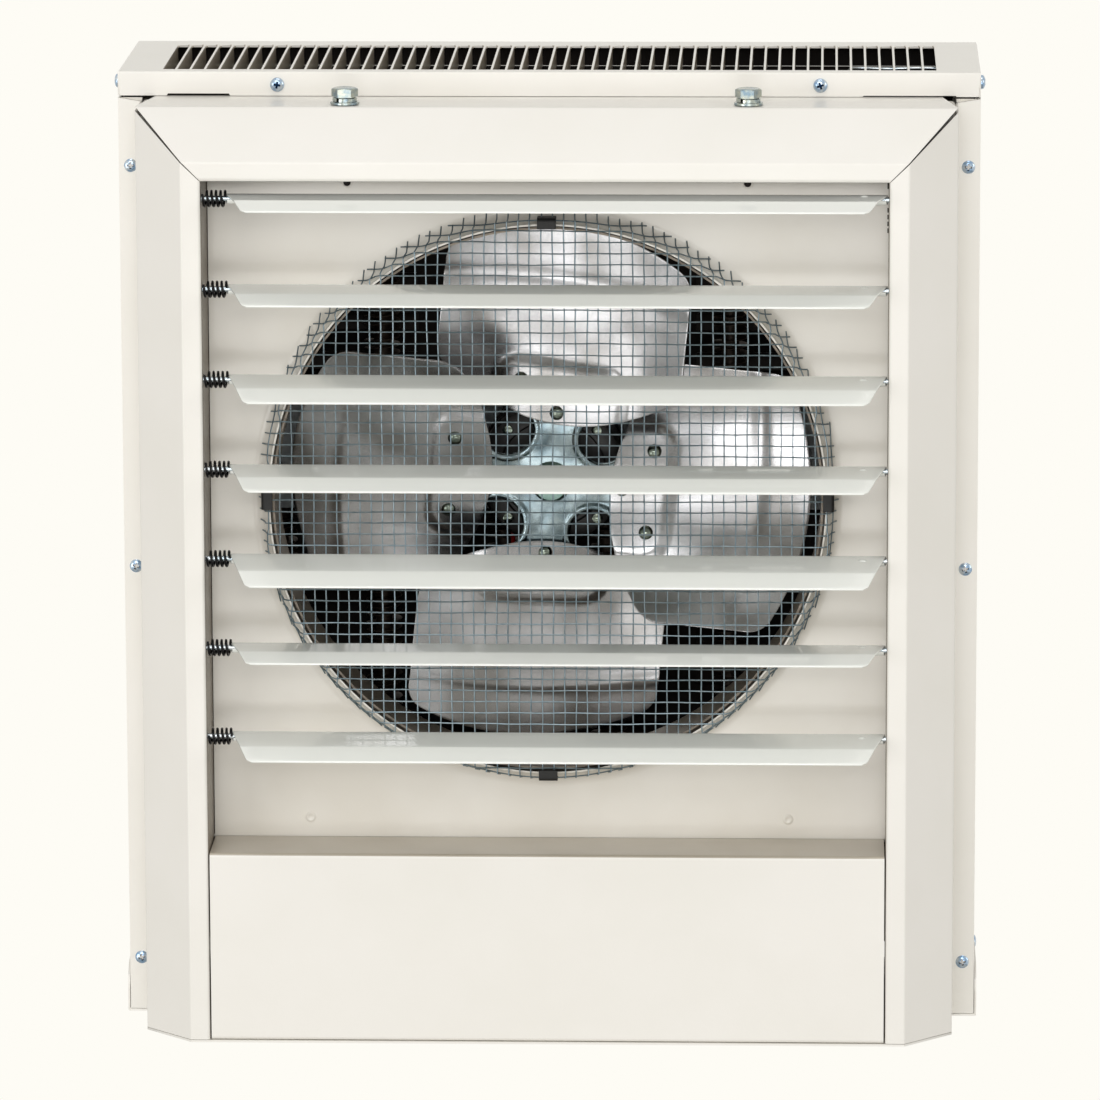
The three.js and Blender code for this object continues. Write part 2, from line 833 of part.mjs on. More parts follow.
const shaft = turned(
  [
    [0, 2 - hubForward],
    [shaftRadius - 0.5, 2 - hubForward],
    [shaftRadius, 2.5 - hubForward],
    [shaftRadius, motorStandoff + shaftEmbed],
    [0, motorStandoff + shaftEmbed],
  ],
  smallSegments
);
place(fan, 'fan_shaft', shaft, zincSteel);

// ---- Motor on its strap bracket ----

function motorBody() {
  const round = 4;
  const bell = 14;
  const bore = shaftRadius + 1.5 * fitGap;
  const waist = motorRadius - 1.2;
  return turned(
    [
      [0, shaftEmbed + fitGap],
      [bore, shaftEmbed + fitGap],
      [bore, -round],
      [motorBoss, -round],
      [motorBoss, 0],
      [motorRadius - round, 0],
      [motorRadius, round],
      [motorRadius, bell],
      [waist, bell],
      [waist, motorLength - bell],
      [motorRadius, motorLength - bell],
      [motorRadius, motorLength - round],
      [motorRadius - round, motorLength],
      [0, motorLength],
    ],
    24
  ).translate(0, motorFace, fanCentre);
}

place(cabinet, 'motor_body', motorBody(), motorEnamel);

const bracketHalf = caseHalf - sheet - fitGap;
const bracketSection = folded([
  [-bracketHalf, bracketBack - bracketReturn],
  [-bracketHalf, bracketBack],
  [bracketHalf, bracketBack],
  [bracketHalf, bracketBack - bracketReturn],
]);
place(
  cabinet,
  'motor_bracket',
  alongZ(bracketSection, fanCentre - bracketHeight / 2, fanCentre + bracketHeight / 2),
  zincSteel
);

// ---- Heating elements: upright finned hairpins ----

const elementTop = caseHeight - elementHeadroom;
const elementBottom = trayBottom - terminalDrop;
const legHalf = elementLegSpacing / 2;

function heatingElement() {
  const bendHeight = elementTop - legHalf - elementTube;
  const bend = range(9).map((k) => {
    const angle = Math.PI * (1 - k / 8);
    return new THREE.Vector3(legHalf * Math.cos(angle), 0, bendHeight + legHalf * Math.sin(angle));
  });
  const path = [
    new THREE.Vector3(-legHalf, 0, elementBottom),
    ...bend,
    new THREE.Vector3(legHalf, 0, elementBottom),
  ];
  const hairpin = tube(path, elementTube, 6, () => axisY.clone());
  const finPitch = (bendHeight - trayTop - 2 * finMargin) / (finsPerLeg - 1);
  const fins = spread(2, elementLegSpacing).flatMap((x) =>
    range(finsPerLeg).map((k) => {
      const z = trayTop + finMargin + k * finPitch - finThickness / 2;
      return alongZ(circle(x, 0, finRadius, 6), z, z + finThickness);
    })
  );
  return join(hairpin, ...fins).translate(0, elementDepth, 0);
}

const elementPlaces = spread(elementCount, elementSpacing);
['left', 'center', 'right'].forEach((side, i) => {
  place(cabinet, `heating_element_${side}`, heatingElement().translate(elementPlaces[i], 0, 0), oxidisedSteel);
});

// ---- Control tray and the parts wired below it ----

function controlTray() {
  const narrow = baffleHalf - sheet - fitGap;
  const wide = caseHalf - trayInset;
  const step = caseFront + sheet + fitGap;
  const half = [
    [narrow, baffleBack + fitGap],
    [narrow, step],
    [wide, step],
    [wide, grilleFront - trayInset - sheet],
  ];
  const holes = elementPlaces.flatMap((x) =>
    spread(2, elementLegSpacing).map((dx) => circle(x + dx, elementDepth, elementTube + 1, 8))
  );
  return alongZ([...half, ...mirrored(half)], trayBottom, trayTop, holes);
}

place(cabinet, 'control_tray', controlTray(), zincSteel);

const componentBack = grilleFront - fitGap;

function contactor() {
  const [front, neck, step] = [componentBack - contactorDepth, componentBack - 0.6 * contactorDepth, 13];
  const top = componentLift + contactorHeight;
  const section = [
    [componentBack, componentLift],
    [componentBack, top],
    [neck, top],
    [neck, top - step],
    [front, top - step],
    [front, componentLift + step],
    [neck, componentLift + step],
    [neck, componentLift],
  ];
  return alongX(section, contactorOffset - contactorWidth / 2, contactorOffset + contactorWidth / 2);
}

place(cabinet, 'contactor', contactor(), phenolic);

// A strip of screw terminals between raised barriers.
function terminalBlock() {
  const barrier = 2.4;
  const half = (terminalPoles * terminalPitch + barrier) / 2;
  const strip = block(-half, half, -terminalDepth, 0, 0, terminalHeight);
  const pockets = spread(terminalPoles, terminalPitch).map((x) => {
    const pocket = (terminalPitch - barrier) / 2;
    return block(x - pocket, x + pocket, -2 * terminalDepth, -terminalDepth / 2, 4, terminalHeight - 4);
  });
  return cut(strip, ...pockets).translate(terminalOffset, componentBack, componentLift + terminalHeight);
}

place(cabinet, 'terminal_block', terminalBlock(), phenolic);

// A bimetal disc thermostat in its flange, on the back of the baffle above the shroud.
function thermalCutout() {
  const front = baffleBack + fitGap;
  const cutoutX = openingHalf - cutoutFlange;
  return turned(
    [
      [0, front],
      [cutoutFlange, front],
      [cutoutFlange, front + 1],
      [cutoutRadius, front + 1],
      [cutoutRadius, front + cutoutDepth],
      [0, front + cutoutDepth],
    ],
    smallSegments
  ).translate(cutoutX, 0, openingTop - cutoutFlange);
}

place(cabinet, 'thermal_cutout', thermalCutout(), phenolic);

// ---- Hanger bolts through the bezel's top flange ----

const washerTop = bezelTop + fitGap + flatWasherThickness + lockWasherThickness;

function hangerBolt(x) {
  const head = alongZ(hexagon(x, hangerDepth, boltAcross), washerTop + fitGap, washerTop + fitGap + boltHead);
  const underHead = washerTop + fitGap;
  const shank = alongZ(circle(x, hangerDepth, boltRadius), underHead - boltLength, underHead + sheet);
  return join(head, shank);
}

// A split lock washer on a flat washer.
function hangerWasher(x) {
  const bore = circle(x, hangerDepth, boltHole);
  const seat = bezelTop + fitGap;
  const flat = alongZ(circle(x, hangerDepth, flatWasherRadius, 16), seat, seat + flatWasherThickness, [bore]);
  const lockBase = seat + flatWasherThickness - sheet / 2;
  const lock = alongZ(circle(x, hangerDepth, lockWasherRadius, 16), lockBase, washerTop, [bore]);
  const split = block(
    x - lockWasherSplit / 2,
    x + lockWasherSplit / 2,
    hangerDepth - flatWasherRadius,
    hangerDepth,
    seat + flatWasherThickness,
    washerTop + sheet
  );
  return cut(join(flat, lock), split);
}

function hangerNut(x) {
  const top = bezelTop - sheet - fitGap;
  return alongZ(hexagon(x, hangerDepth, boltAcross), top - nutHeight, top, [circle(x, hangerDepth, boltHole)]);
}

['left', 'right'].forEach((side, i) => {
  place(cabinet, `hanger_bolt_${side}`, hangerBolt(hangerPlaces[i]), zincSteel);
  place(cabinet, `hanger_washer_${side}`, hangerWasher(hangerPlaces[i]), zincSteel);
  place(cabinet, `hanger_nut_${side}`, hangerNut(hangerPlaces[i]), zincSteel);
});

// ---- Louvres: a curled blade on a rod, held by a friction spring ----

const lipAngle = THREE.MathUtils.degToRad(louverLipAngle);

// The blade's section about its rod: a hem curled round the rod, a flat web and a dropped lip.
function louverSection() {
  const curlSteps = 9;
  const curl = (radius) =>
    range(curlSteps + 1).map((k) => {
      const angle = Math.PI / 2 - (k / curlSteps) * 1.5 * Math.PI;
      return [radius * Math.cos(angle), radius * Math.sin(angle)];
    });
  const [run, fall] = [louverLip * Math.cos(lipAngle), louverLip * Math.sin(lipAngle)];
  const [thickRun, thickFall] = [louverSheet * Math.sin(lipAngle), louverSheet * Math.cos(lipAngle)];
  return [
    [-louverWeb - run + thickRun, hemOuter - fall - thickFall],
    [louverSheet * Math.tan(lipAngle / 2) - louverWeb, hemInner],
    ...curl(hemInner),
    ...curl(hemOuter).reverse(),
    [-louverWeb, hemOuter],
    [-louverWeb - run, hemOuter - fall],
  ];
}

function louverBlade() {
  const tip = -louverWeb - louverLip * Math.cos(lipAngle) + fitGap / 2;
  const half = (end, side) => [
    [end, 2 * hemOuter],
    [end, 0],
    [end - side * louverFoldInset, -louverWeb],
    [end - side * louverTipInset, tip, louverCorner],
  ];
  const plan = rounded([...half(louverLeft, -1), ...half(louverRight, 1).reverse()]);
  const drawn = alongX(louverSection(), louverLeft, louverRight);
  return clip(drawn, alongZ(plan, -louverWeb, louverWeb));
}

const louverRod = () =>
  alongX(circle(0, 0, rodRadius, 10), -openingHalf - rodOverhang, openingHalf + rodOverhang);

const coilRadius = (springDiameter - springWire) / 2;

// The spring's centre line: a helix about the rod whose ends run straight into what they press on.
function springPath() {
  const steps = springTurns * springSteps;
  const advance = (springLength - 2 * springWire) / steps;
  const start = Math.atan2((hemInner + hemOuter) / 2, -Math.sqrt(coilRadius ** 2 - hemInner ** 2));
  const helix = range(steps + 1).map((k) => {
    const angle = start + (2 * Math.PI * k) / springSteps;
    return new THREE.Vector3(
      springWire + k * advance,
      coilRadius * Math.cos(angle),
      coilRadius * Math.sin(angle)
    );
  });
  return [helix[0].clone().setX(0), ...helix, helix.at(-1).clone().setX(springLength)];
}

function leastGap(path, wire) {
  const apart = springSteps / 2;
  const gaps = path.flatMap((point, i) => path.slice(i + apart).map((other) => other.distanceTo(point)));
  return Math.min(...gaps) - wire;
}

console.log(`louver spring: least gap between turns ${leastGap(springPath(), springWire).toFixed(2)} mm`);

const louverSpring = () =>
  tube(springPath(), springWire / 2, springSides, (point) => new THREE.Vector3(0, point.y, point.z)).translate(
    fitGap - openingHalf,
    0,
    0
  );

louverPivots.forEach((height, k) => {
  const louver = new THREE.Group();
  louver.position.set(0, louverPivotDepth, height);
  louver.rotation.x = THREE.MathUtils.degToRad(louverTilts[k % louverTilts.length]);
  cabinet.add(louver);
  place(louver, `louver_blade_${k + 1}`, louverBlade(), louverEnamel);
  place(louver, `louver_rod_${k + 1}`, louverRod(), zincSteel);
  place(louver, `louver_spring_${k + 1}`, louverSpring(), blackSpring);
});

export default heater;
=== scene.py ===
import math
import random

import bmesh
import bpy
from mathutils import Matrix, Vector


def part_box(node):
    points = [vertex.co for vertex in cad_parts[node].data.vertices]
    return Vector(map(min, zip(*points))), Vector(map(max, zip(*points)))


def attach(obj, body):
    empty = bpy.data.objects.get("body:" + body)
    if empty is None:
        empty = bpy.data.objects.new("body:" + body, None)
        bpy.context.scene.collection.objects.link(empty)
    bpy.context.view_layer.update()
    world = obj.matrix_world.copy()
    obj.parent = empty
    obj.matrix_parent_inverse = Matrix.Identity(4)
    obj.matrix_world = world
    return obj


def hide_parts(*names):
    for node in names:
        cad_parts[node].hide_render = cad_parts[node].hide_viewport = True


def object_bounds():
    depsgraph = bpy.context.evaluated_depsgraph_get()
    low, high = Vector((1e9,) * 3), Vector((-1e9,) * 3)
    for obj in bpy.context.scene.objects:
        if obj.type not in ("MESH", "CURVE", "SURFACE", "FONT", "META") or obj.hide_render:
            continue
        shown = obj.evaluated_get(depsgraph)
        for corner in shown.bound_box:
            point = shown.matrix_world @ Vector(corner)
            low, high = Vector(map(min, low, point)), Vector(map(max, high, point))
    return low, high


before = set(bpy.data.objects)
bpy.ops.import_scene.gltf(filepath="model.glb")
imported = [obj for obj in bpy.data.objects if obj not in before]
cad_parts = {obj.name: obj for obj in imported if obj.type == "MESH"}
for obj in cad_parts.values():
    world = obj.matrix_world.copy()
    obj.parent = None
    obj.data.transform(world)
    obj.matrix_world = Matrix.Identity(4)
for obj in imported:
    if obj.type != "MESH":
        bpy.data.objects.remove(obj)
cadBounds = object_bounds()
dice = random.Random(7)

mm = 0.001
cabinetOrigin = Vector((0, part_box("bezel_top")[0].y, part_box("bottom_door")[0].z))
cabinetPlace = Matrix.Translation(cabinetOrigin) @ Matrix.Scale(mm, 4)


def localBox(node):
    low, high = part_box(node)
    return (low - cabinetOrigin) / mm, (high - cabinetOrigin) / mm


def at(x, y, z):
    return Matrix.Translation((x, y, z))


def rotation(degrees, axis):
    return Matrix.Rotation(math.radians(degrees), 4, axis)


frontwards = rotation(90, "X")  # a lathe's height then points to the front
backwards = rotation(-90, "X")

# Camera
camera = {
    "place": (0.154, -4.15, 0.587),  # metres, in the frame
    "yaw": -0.0368,
    "pitch": -0.199,
    "roll": -0.0032,
    "lens": 248.4,
}

forward = Vector((
    math.sin(camera["yaw"]) * math.cos(camera["pitch"]),
    math.cos(camera["yaw"]) * math.cos(camera["pitch"]),
    math.sin(camera["pitch"]),
))
level = Vector((math.cos(camera["yaw"]), -math.sin(camera["yaw"]), 0))
sideways = Matrix.Rotation(camera["roll"], 3, -forward) @ level
upward = sideways.cross(forward)
cameraData = bpy.data.cameras.new("camera")
cameraData.lens = camera["lens"]
cameraData.clip_end = 60
cameraObject = bpy.data.objects.new("camera", cameraData)
cameraObject.matrix_world = Matrix((
    (sideways.x, upward.x, -forward.x, camera["place"][0]),
    (sideways.y, upward.y, -forward.y, camera["place"][1]),
    (sideways.z, upward.z, -forward.z, camera["place"][2]),
    (0, 0, 0, 1),
))
bpy.context.scene.collection.objects.link(cameraObject)
bpy.context.scene.camera = cameraObject
bpy.context.scene.view_settings.view_transform = "Standard"
print("camera set")


# Materials
def linear(hexColour):  # an sRGB hex value as a linear colour
    channels = [int(hexColour[i:i + 2], 16) / 255 for i in (1, 3, 5)]
    return [c / 12.92 if c <= 0.04045 else ((c + 0.055) / 1.055) ** 2.4 for c in channels] + [1]


def feed(node, inputs):  # sets or links a node's sockets
    for socket, value in inputs.items():
        if isinstance(value, bpy.types.NodeSocket):
            node.id_data.links.new(value, node.inputs[socket])
        else:
            node.inputs[socket].default_value = value


def addNode(tree, kind, inputs, **settings):
    made = tree.nodes.new(kind)
    for name, value in settings.items():
        setattr(made, name, value)
    feed(made, inputs)
    return made


def newMaterial(name, colour, roughness, metallic=0, coat=0, coatRoughness=0.1):
    material = bpy.data.materials.new(name)
    material.use_nodes = True
    material.diffuse_color = linear(colour)
    tree = material.node_tree
    shader = tree.nodes["Principled BSDF"]
    feed(shader, {"Base Color": linear(colour), "Roughness": roughness, "Metallic": metallic,
                  "Coat Weight": coat, "Coat Roughness": coatRoughness})
    place = addNode(tree, "ShaderNodeTexCoord", {}).outputs["Object"]
    return material, tree, shader, place


def noise(tree, place, size, detail):  # clouds of about this many millimetres
    inputs = {"Vector": place, "Scale": 1 / (size * mm), "Detail": detail}
    return addNode(tree, "ShaderNodeTexNoise", inputs).outputs[0]


def twoTone(tree, factor, dark, light, start=0, end=1):
    ramp = addNode(tree, "ShaderNodeValToRGB", {"Fac": factor})
    for stop, position, tone in zip(ramp.color_ramp.elements, (start, end), (dark, light)):
        stop.position = position
        stop.color = linear(tone)
    return ramp.outputs[0]


def spread(tree, factor, low, high):
    return addNode(tree, "ShaderNodeMapRange", {"Value": factor, "To Min": low, "To Max": high}).outputs[0]


def bumped(tree, height, strength, depth, **under):  # depth in millimetres
    inputs = {"Height": height, "Strength": strength, "Distance": depth * mm, **under}
    return addNode(tree, "ShaderNodeBump", inputs).outputs[0]


# Baked enamel on sheet steel, sprayed: a warm ivory with a faint orange peel and clouding
def ivoryPaint(name, colour, shade, roughness):
    material, tree, shader, place = newMaterial(name, colour, roughness, coat=0.25, coatRoughness=0.12)
    clouds = {"Value": noise(tree, place, 70, 3), "From Min": 0.35, "From Max": 0.65}
    cloud = addNode(tree, "ShaderNodeMapRange", clouds).outputs[0]
    tones = {"Factor": cloud, "A": linear(colour), "B": linear(shade)}
    tone = addNode(tree, "ShaderNodeMix", tones, data_type="RGBA")
    wave, peel = noise(tree, place, 90, 0), noise(tree, place, 2.2, 2)
    height = addNode(tree, "ShaderNodeMath", {0: wave, 1: 14.0, 2: peel}, operation="MULTIPLY_ADD")
    feed(shader, {"Base Color": tone.outputs["Result"], "Normal": bumped(tree, height.outputs[0], 0.5, 0.06)})
    return material


ivoryEnamel = ivoryPaint("ivoryEnamel", "#f5f2ec", "#f2efe8", 0.36)
baffleShadedEnamel = ivoryPaint("baffleShadedEnamel", "#f3efe7", "#ece7dd", 0.24)  # the same paint, glossier, and a shade deeper as painted shade in the recess
caseShadedEnamel = ivoryPaint("caseShadedEnamel", "#ebe7de", "#e5e0d6", 0.3)  # the same paint, a shade deeper on the case sides as painted shade under the bezel
recessShadeEnamel = ivoryPaint("recessShadeEnamel", "#c4bbac", "#b8ae9e", 0.3)  # darker paint as painted shade on the ledge and in the lid's slots
returnShadeEnamel = ivoryPaint("returnShadeEnamel", "#857b6e", "#72685c", 0.5)  # much darker paint as painted shade on the returns that face inwards

# Gloss enamel on rolled strip: cooler white, mirror-like along the strip, with drawn-out waves
louverEnamel, tree, shader, place = newMaterial("louverEnamel", "#f6f8f3", 0.3, coat=1, coatRoughness=0.02)
drawn = addNode(tree, "ShaderNodeMapping", {"Vector": place, "Scale": (0.12, 1, 1)}).outputs[0]
feed(shader, {"Normal": bumped(tree, noise(tree, drawn, 9, 2), 0.2, 0.06)})

# Painted shade for the inside of the case: steel coloured nearly black brown, no shine, clouded at random
paintedShade, tree, shader, place = newMaterial("paintedShadeSteel", "#17110e", 0.8, metallic=0.2)
feed(shader, {"Base Color": twoTone(tree, noise(tree, place, 25, 5), "#0f0b09", "#241a15")})


# Zinc plate with passivate on pressed or turned steel: cool, bright, faintly clouded
def zincPlate(name, colour, tint, roughness, cloudSize):
    material, tree, shader, place = newMaterial(name, colour, roughness, metallic=1)
    cloud = noise(tree, place, cloudSize, 4)
    feed(shader, {"Base Color": twoTone(tree, cloud, colour, tint, 0.35, 0.65),
                  "Roughness": spread(tree, cloud, roughness * 0.8, roughness * 1.25),
                  "Normal": bumped(tree, cloud, 0.3, 0.15)})
    return material


zincSteel = zincPlate("zincSteel", "#aebbc4", "#c3c8cb", 0.26, 14)  # bright zinc plate on drawn rod
zincFastener = zincPlate("zincFastener", "#86a3c2", "#c3ccd4", 0.2, 3)  # blue passivated zinc on screws
spiderZinc = zincPlate("spiderZinc", "#74868e", "#a1afb3", 0.19, 9)  # zinc plate on pressed steel, greyed by heat
recessPassivateAndShade = zincPlate("recessPassivateAndShade", "#10263f", "#1e3c5f", 0.5, 2)  # blue passivate in a screw's cross, darkened as painted shade in the recess
hangerZinc = zincPlate("hangerZinc", "#7b8f9c", "#b3b7ac", 0.22, 4)  # zinc plate on hex bolts, a trace of yellow in it
chromate = zincPlate("greenChromate", "#5f7972", "#869c95", 0.28, 5)  # green chromate on the turned hub
rivetZinc = zincPlate("rivetOliveChromate", "#5f6961", "#8b9388", 0.13, 4)  # olive chromate on headed rivets
galvanisedWire = zincPlate("galvanisedWire", "#75868f", "#8f9ca3", 0.4, 4)  # hot-dip zinc on welded wire
galvanisedSheet = zincPlate("galvanisedSheet", "#8b8f92", "#a3a6a7", 0.45, 9)  # hot-dip zinc on sheet, dull

# Mill-finish aluminium sheet, pressed: bright, with rolling streaks across and soft clouding
fanAluminium, tree, shader, place = newMaterial("fanAluminium", "#dcdcde", 0.3, metallic=1)
rolled = addNode(tree, "ShaderNodeMapping", {"Vector": place, "Scale": (0.05, 1, 1)}).outputs[0]
streaks, cloud = noise(tree, rolled, 1.6, 4), noise(tree, place, 30, 1)
feed(shader, {"Base Color": twoTone(tree, cloud, "#8f8d8b", "#c4c4c7", 0.3, 0.7),
              "Roughness": spread(tree, streaks, 0.16, 0.3),
              "Normal": bumped(tree, cloud, 0.3, 0.4, Normal=bumped(tree, streaks, 0.1, 0.05))})


# A plain finish with one fine grain over it
def grained(name, colour, roughness, grainSize, depth, metallic=0, coat=0):
    material, tree, shader, place = newMaterial(name, colour, roughness, metallic, coat)
    grain = noise(tree, place, grainSize, 3)
    feed(shader, {"Roughness": spread(tree, grain, roughness * 0.85, roughness * 1.2),
                  "Normal": bumped(tree, grain, 0.4, depth)})
    return material


blackOxide = grained("blackOxideSpringSteel", "#141416", 0.35, 1.2, 0.05, metallic=0.7)  # drawn wire, oiled black
blackClip = grained("blackDippedSteel", "#0b0b0c", 0.55, 1.5, 0.05)  # dip-coated spring steel
oxidisedSteel = grained("oxidisedSteel", "#4a4038", 0.5, 2.5, 0.08, metallic=0.6)  # sheath steel, blued by heat
shroudShadedSteel = grained("shroudSteelPaintedShade", "#877d71", 0.38, 3, 0.05, metallic=0.35)  # rolled ring, dull taupe, darkened as painted shade inside the ring
motorEnamel = grained("motorEnamel", "#13110f", 0.45, 1.8, 0.06, coat=0.1)  # dipped black on cast end bells
phenolic = grained("phenolic", "#2a221d", 0.45, 0.9, 0.03)  # moulded resin, fine speckle
redLead = grained("redLeadSleeve", "#9c1512", 0.4, 1.2, 0.04)  # silicone sleeve
amberLead = grained("amberLeadSleeve", "#a8742a", 0.4, 1.2, 0.04)  # braided glass sleeve
print("materials made")


# Pieces
def asObject(bm, name):
    mesh = bpy.data.meshes.new(name)
    bm.to_mesh(mesh)
    bm.free()
    made = bpy.data.objects.new(name, mesh)
    bpy.context.scene.collection.objects.link(made)
    return made


def addPiece(bm, name, body, materials, stands=(), place=cabinetPlace, edgeAngle=32):
    bm.transform(place)
    piece = asObject(bm, name)
    piece.data.shade_smooth()
    piece.data.set_sharp_from_angle(angle=math.radians(edgeAngle))
    for material in materials if isinstance(materials, list) else [materials]:
        piece.data.materials.append(material)
    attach(piece, body)
    if stands:
        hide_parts(*stands)
    return piece


def evenShading(piece):  # a broad face stays flat up to its rounded folds
    even = piece.modifiers.new("even", "WEIGHTED_NORMAL")
    even.keep_sharp = True


def thicken(piece, thickness, bevel, offset=-1, shadedInside=False):  # a sheet's wall, with its cut edges eased
    wall = piece.modifiers.new("wall", "SOLIDIFY")
    wall.thickness = thickness * mm
    wall.offset = offset
    wall.use_even_offset = True
    # a shaded inside takes the next material, painted shade
    wall.material_offset = int(shadedInside)
    ease = piece.modifiers.new("ease", "BEVEL")
    ease.width = bevel * mm
    ease.segments = 2
    ease.limit_method = "ANGLE"
    ease.angle_limit = math.radians(50)
    if shadedInside:
        evenShading(piece)


def extruded(bm, edges):  # the vertices and edges of a strip grown from these edges
    made = bmesh.ops.extrude_edge_only(bm, edges=edges)["geom"]
    return [[part for part in made if isinstance(part, kind)] for kind in (bmesh.types.BMVert, bmesh.types.BMEdge)]


def sliced(bm, place, normal):
    bmesh.ops.bisect_plane(bm, geom=bm.verts[:] + bm.edges[:] + bm.faces[:], plane_co=place, plane_no=normal, dist=1e-4)


def rounded(bm, edges, offset, segments, clamp=False):
    bmesh.ops.bevel(bm, geom=edges, offset=offset, segments=segments, profile=0.5, affect="EDGES", material=-1,
                    clamp_overlap=clamp)


def foldsOver(bm, degrees):
    return [e for e in bm.edges if len(e.link_faces) == 2 and e.calc_face_angle() > math.radians(degrees)]


def faceTowards(bm, *direction):  # turns an open sheet so that its broadest face looks this way
    bmesh.ops.recalc_face_normals(bm, faces=bm.faces)
    if max(bm.faces, key=lambda f: f.calc_area()).normal.dot(direction) < 0:
        bmesh.ops.reverse_faces(bm, faces=bm.faces)


def flatSheet(corners):
    bm = bmesh.new()
    bm.faces.new([bm.verts.new(corner) for corner in corners])
    return bm


def plate(corners, thickness):  # a flat plate from its four corners
    bm = flatSheet(corners)
    bm.normal_update()
    lift = bm.faces[:][0].normal * thickness
    grown = bmesh.ops.extrude_face_region(bm, geom=bm.faces[:])["geom"]
    bmesh.ops.translate(bm, vec=lift, verts=[part for part in grown if isinstance(part, bmesh.types.BMVert)])
    bmesh.ops.recalc_face_normals(bm, faces=bm.faces)
    return bm


def strip(left, right, start, end, thickness):  # a plate between two levels, each [y, z]
    return plate([(left, *start), (right, *start), (right, *end), (left, *end)], thickness)


def cuboid(place, size, bevel=0, segments=2):
    bm = bmesh.new()
    bmesh.ops.create_cube(bm, size=1, matrix=place @ Matrix.Diagonal((*size, 1)))
    rounded(bm, bm.edges[:], bevel, segments)
    return bm


def spun(bm, geom, angle, steps, rise=0, merge=False):  # turns geometry about z, with this rise at each step
    bmesh.ops.spin(bm, geom=geom, cent=(0, 0, 0), axis=(0, 0, 1), angle=angle, dvec=(0, 0, rise), steps=steps,
                   use_merge=merge)


def lathe(profile, steps=48):  # [radius, height] points turned about z
    bm = bmesh.new()
    ring = [bm.verts.new((radius, 0, height)) for radius, height in profile]
    edges = [bm.edges.new(pair) for pair in zip(ring, ring[1:])]
    spun(bm, ring + edges, 2 * math.pi, steps, merge=True)
    bmesh.ops.remove_doubles(bm, verts=bm.verts, dist=1e-4)
    bmesh.ops.recalc_face_normals(bm, faces=bm.faces)
    return bm


def tubes(paths, radius, resolution=1):
    curve = bpy.data.curves.new("wire", "CURVE")
    curve.dimensions = "3D"
    curve.bevel_depth = radius
    curve.bevel_resolution = resolution
    curve.use_fill_caps = True
    for path in paths:
        spline = curve.splines.new("POLY")
        spline.points.add(len(path) - 1)
        for point, spot in zip(spline.points, path):
            point.co = (*spot, 1)
    carrier = bpy.data.objects.new("wire", curve)
    mesh = bpy.data.meshes.new_from_object(carrier)
    bm = bmesh.new()
    bm.from_mesh(mesh)
    bpy.data.objects.remove(carrier)
    bpy.data.curves.remove(curve)
    bpy.data.meshes.remove(mesh)
    bmesh.ops.remove_doubles(bm, verts=bm.verts, dist=1e-4)
    return bm


def eased(points, steps=8):  # a smooth path through a few points
    path, last = [], len(points) - 1
    for k in range(last):
        before, start, end, after = (Vector(points[min(max(i, 0), last)]) for i in (k - 1, k, k + 1, k + 2))
        for s in range(steps):
            t = s / steps
            path.append(0.5 * (2 * start + (end - before) * t + (2 * before - 5 * start + 4 * end - after) * t * t
                               + (3 * start - before - 3 * end + after) * t ** 3))
    return path + [Vector(points[-1])]


def combined(parts):  # several bmeshes as one
    whole = bmesh.new()
    scratch = bpy.data.meshes.new("scratch")
    for part in parts:
        part.to_mesh(scratch)
        part.free()
        whole.from_mesh(scratch)
    bpy.data.meshes.remove(scratch)
    return whole


def copyOf(bm, matrix):
    made = bm.copy()
    made.transform(matrix)
    return made


def smoothStep(value, low, high):
    t = min(1, max(0, (value - low) / (high - low)))
    return t * t * (3 - 2 * t)


# Folded sheet metal: the frame's own shapes, with their folds rounded and their cut edges eased
softening = {"fold": 0.9, "foldLength": 8, "cut": 0.22, "cutLength": 0.4, "wide": 2.4}


def softened(node, name, body, materials, shape=None, inside=None, fold=softening["fold"]):
    bm = bmesh.new()
    bm.from_mesh(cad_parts[node].data)
    bm.transform(cabinetPlace.inverted())
    bmesh.ops.remove_doubles(bm, verts=bm.verts, dist=0.002)
    bmesh.ops.dissolve_limit(bm, angle_limit=math.radians(1), verts=bm.verts, edges=bm.edges)
    if shape:
        shape(bm)

    def broad(edge):  # both sheets are wider than the sheet is thick
        return all(f.calc_area() / edge.calc_length() > softening["wide"] for f in edge.link_faces)

    folds = [e for e in foldsOver(bm, 15) if e.calc_length() > softening["foldLength"] and broad(e)]
    rounded(bm, folds, fold, 3, clamp=True)
    cuts = [e for e in foldsOver(bm, 50) if e.calc_length() > softening["cutLength"]]
    rounded(bm, cuts, softening["cut"], 2, clamp=True)
    # faces the mask picks take painted shade, or darker paint as painted shade
    if inside:
        for face in bm.faces:
            face.material_index = int(inside(face, face.calc_center_median()))
    evenShading(addPiece(bm, name, body, materials, [node]))


mitre = {"gap": 2.1, "start": 190, "end": 227, "rise": 299, "near": 2.5, "top": 526.5}  # the joint's z is x + rise


def openMitre(bm):  # the joint gapes towards the corner
    for vert in bm.verts:
        x, z = abs(vert.co.x), vert.co.z
        if abs(z - x - mitre["rise"]) < mitre["near"] and x > mitre["start"] and z < mitre["top"]:
            vert.co.z -= mitre["gap"] * smoothStep(x, mitre["start"], mitre["end"])


stripEnd = {"top": 524, "front": 80, "rise": 1.1}


def raiseStrip(bm):  # the case's front strip ends just under the lid
    for vert in bm.verts:
        if abs(vert.co.z - stripEnd["top"]) < 0.1 and vert.co.y < stripEnd["front"]:
            vert.co.z += stripEnd["rise"]


postReturn = {"left": 0.6, "right": 1.1, "rightFrom": 476, "wall": 191, "back": 42}


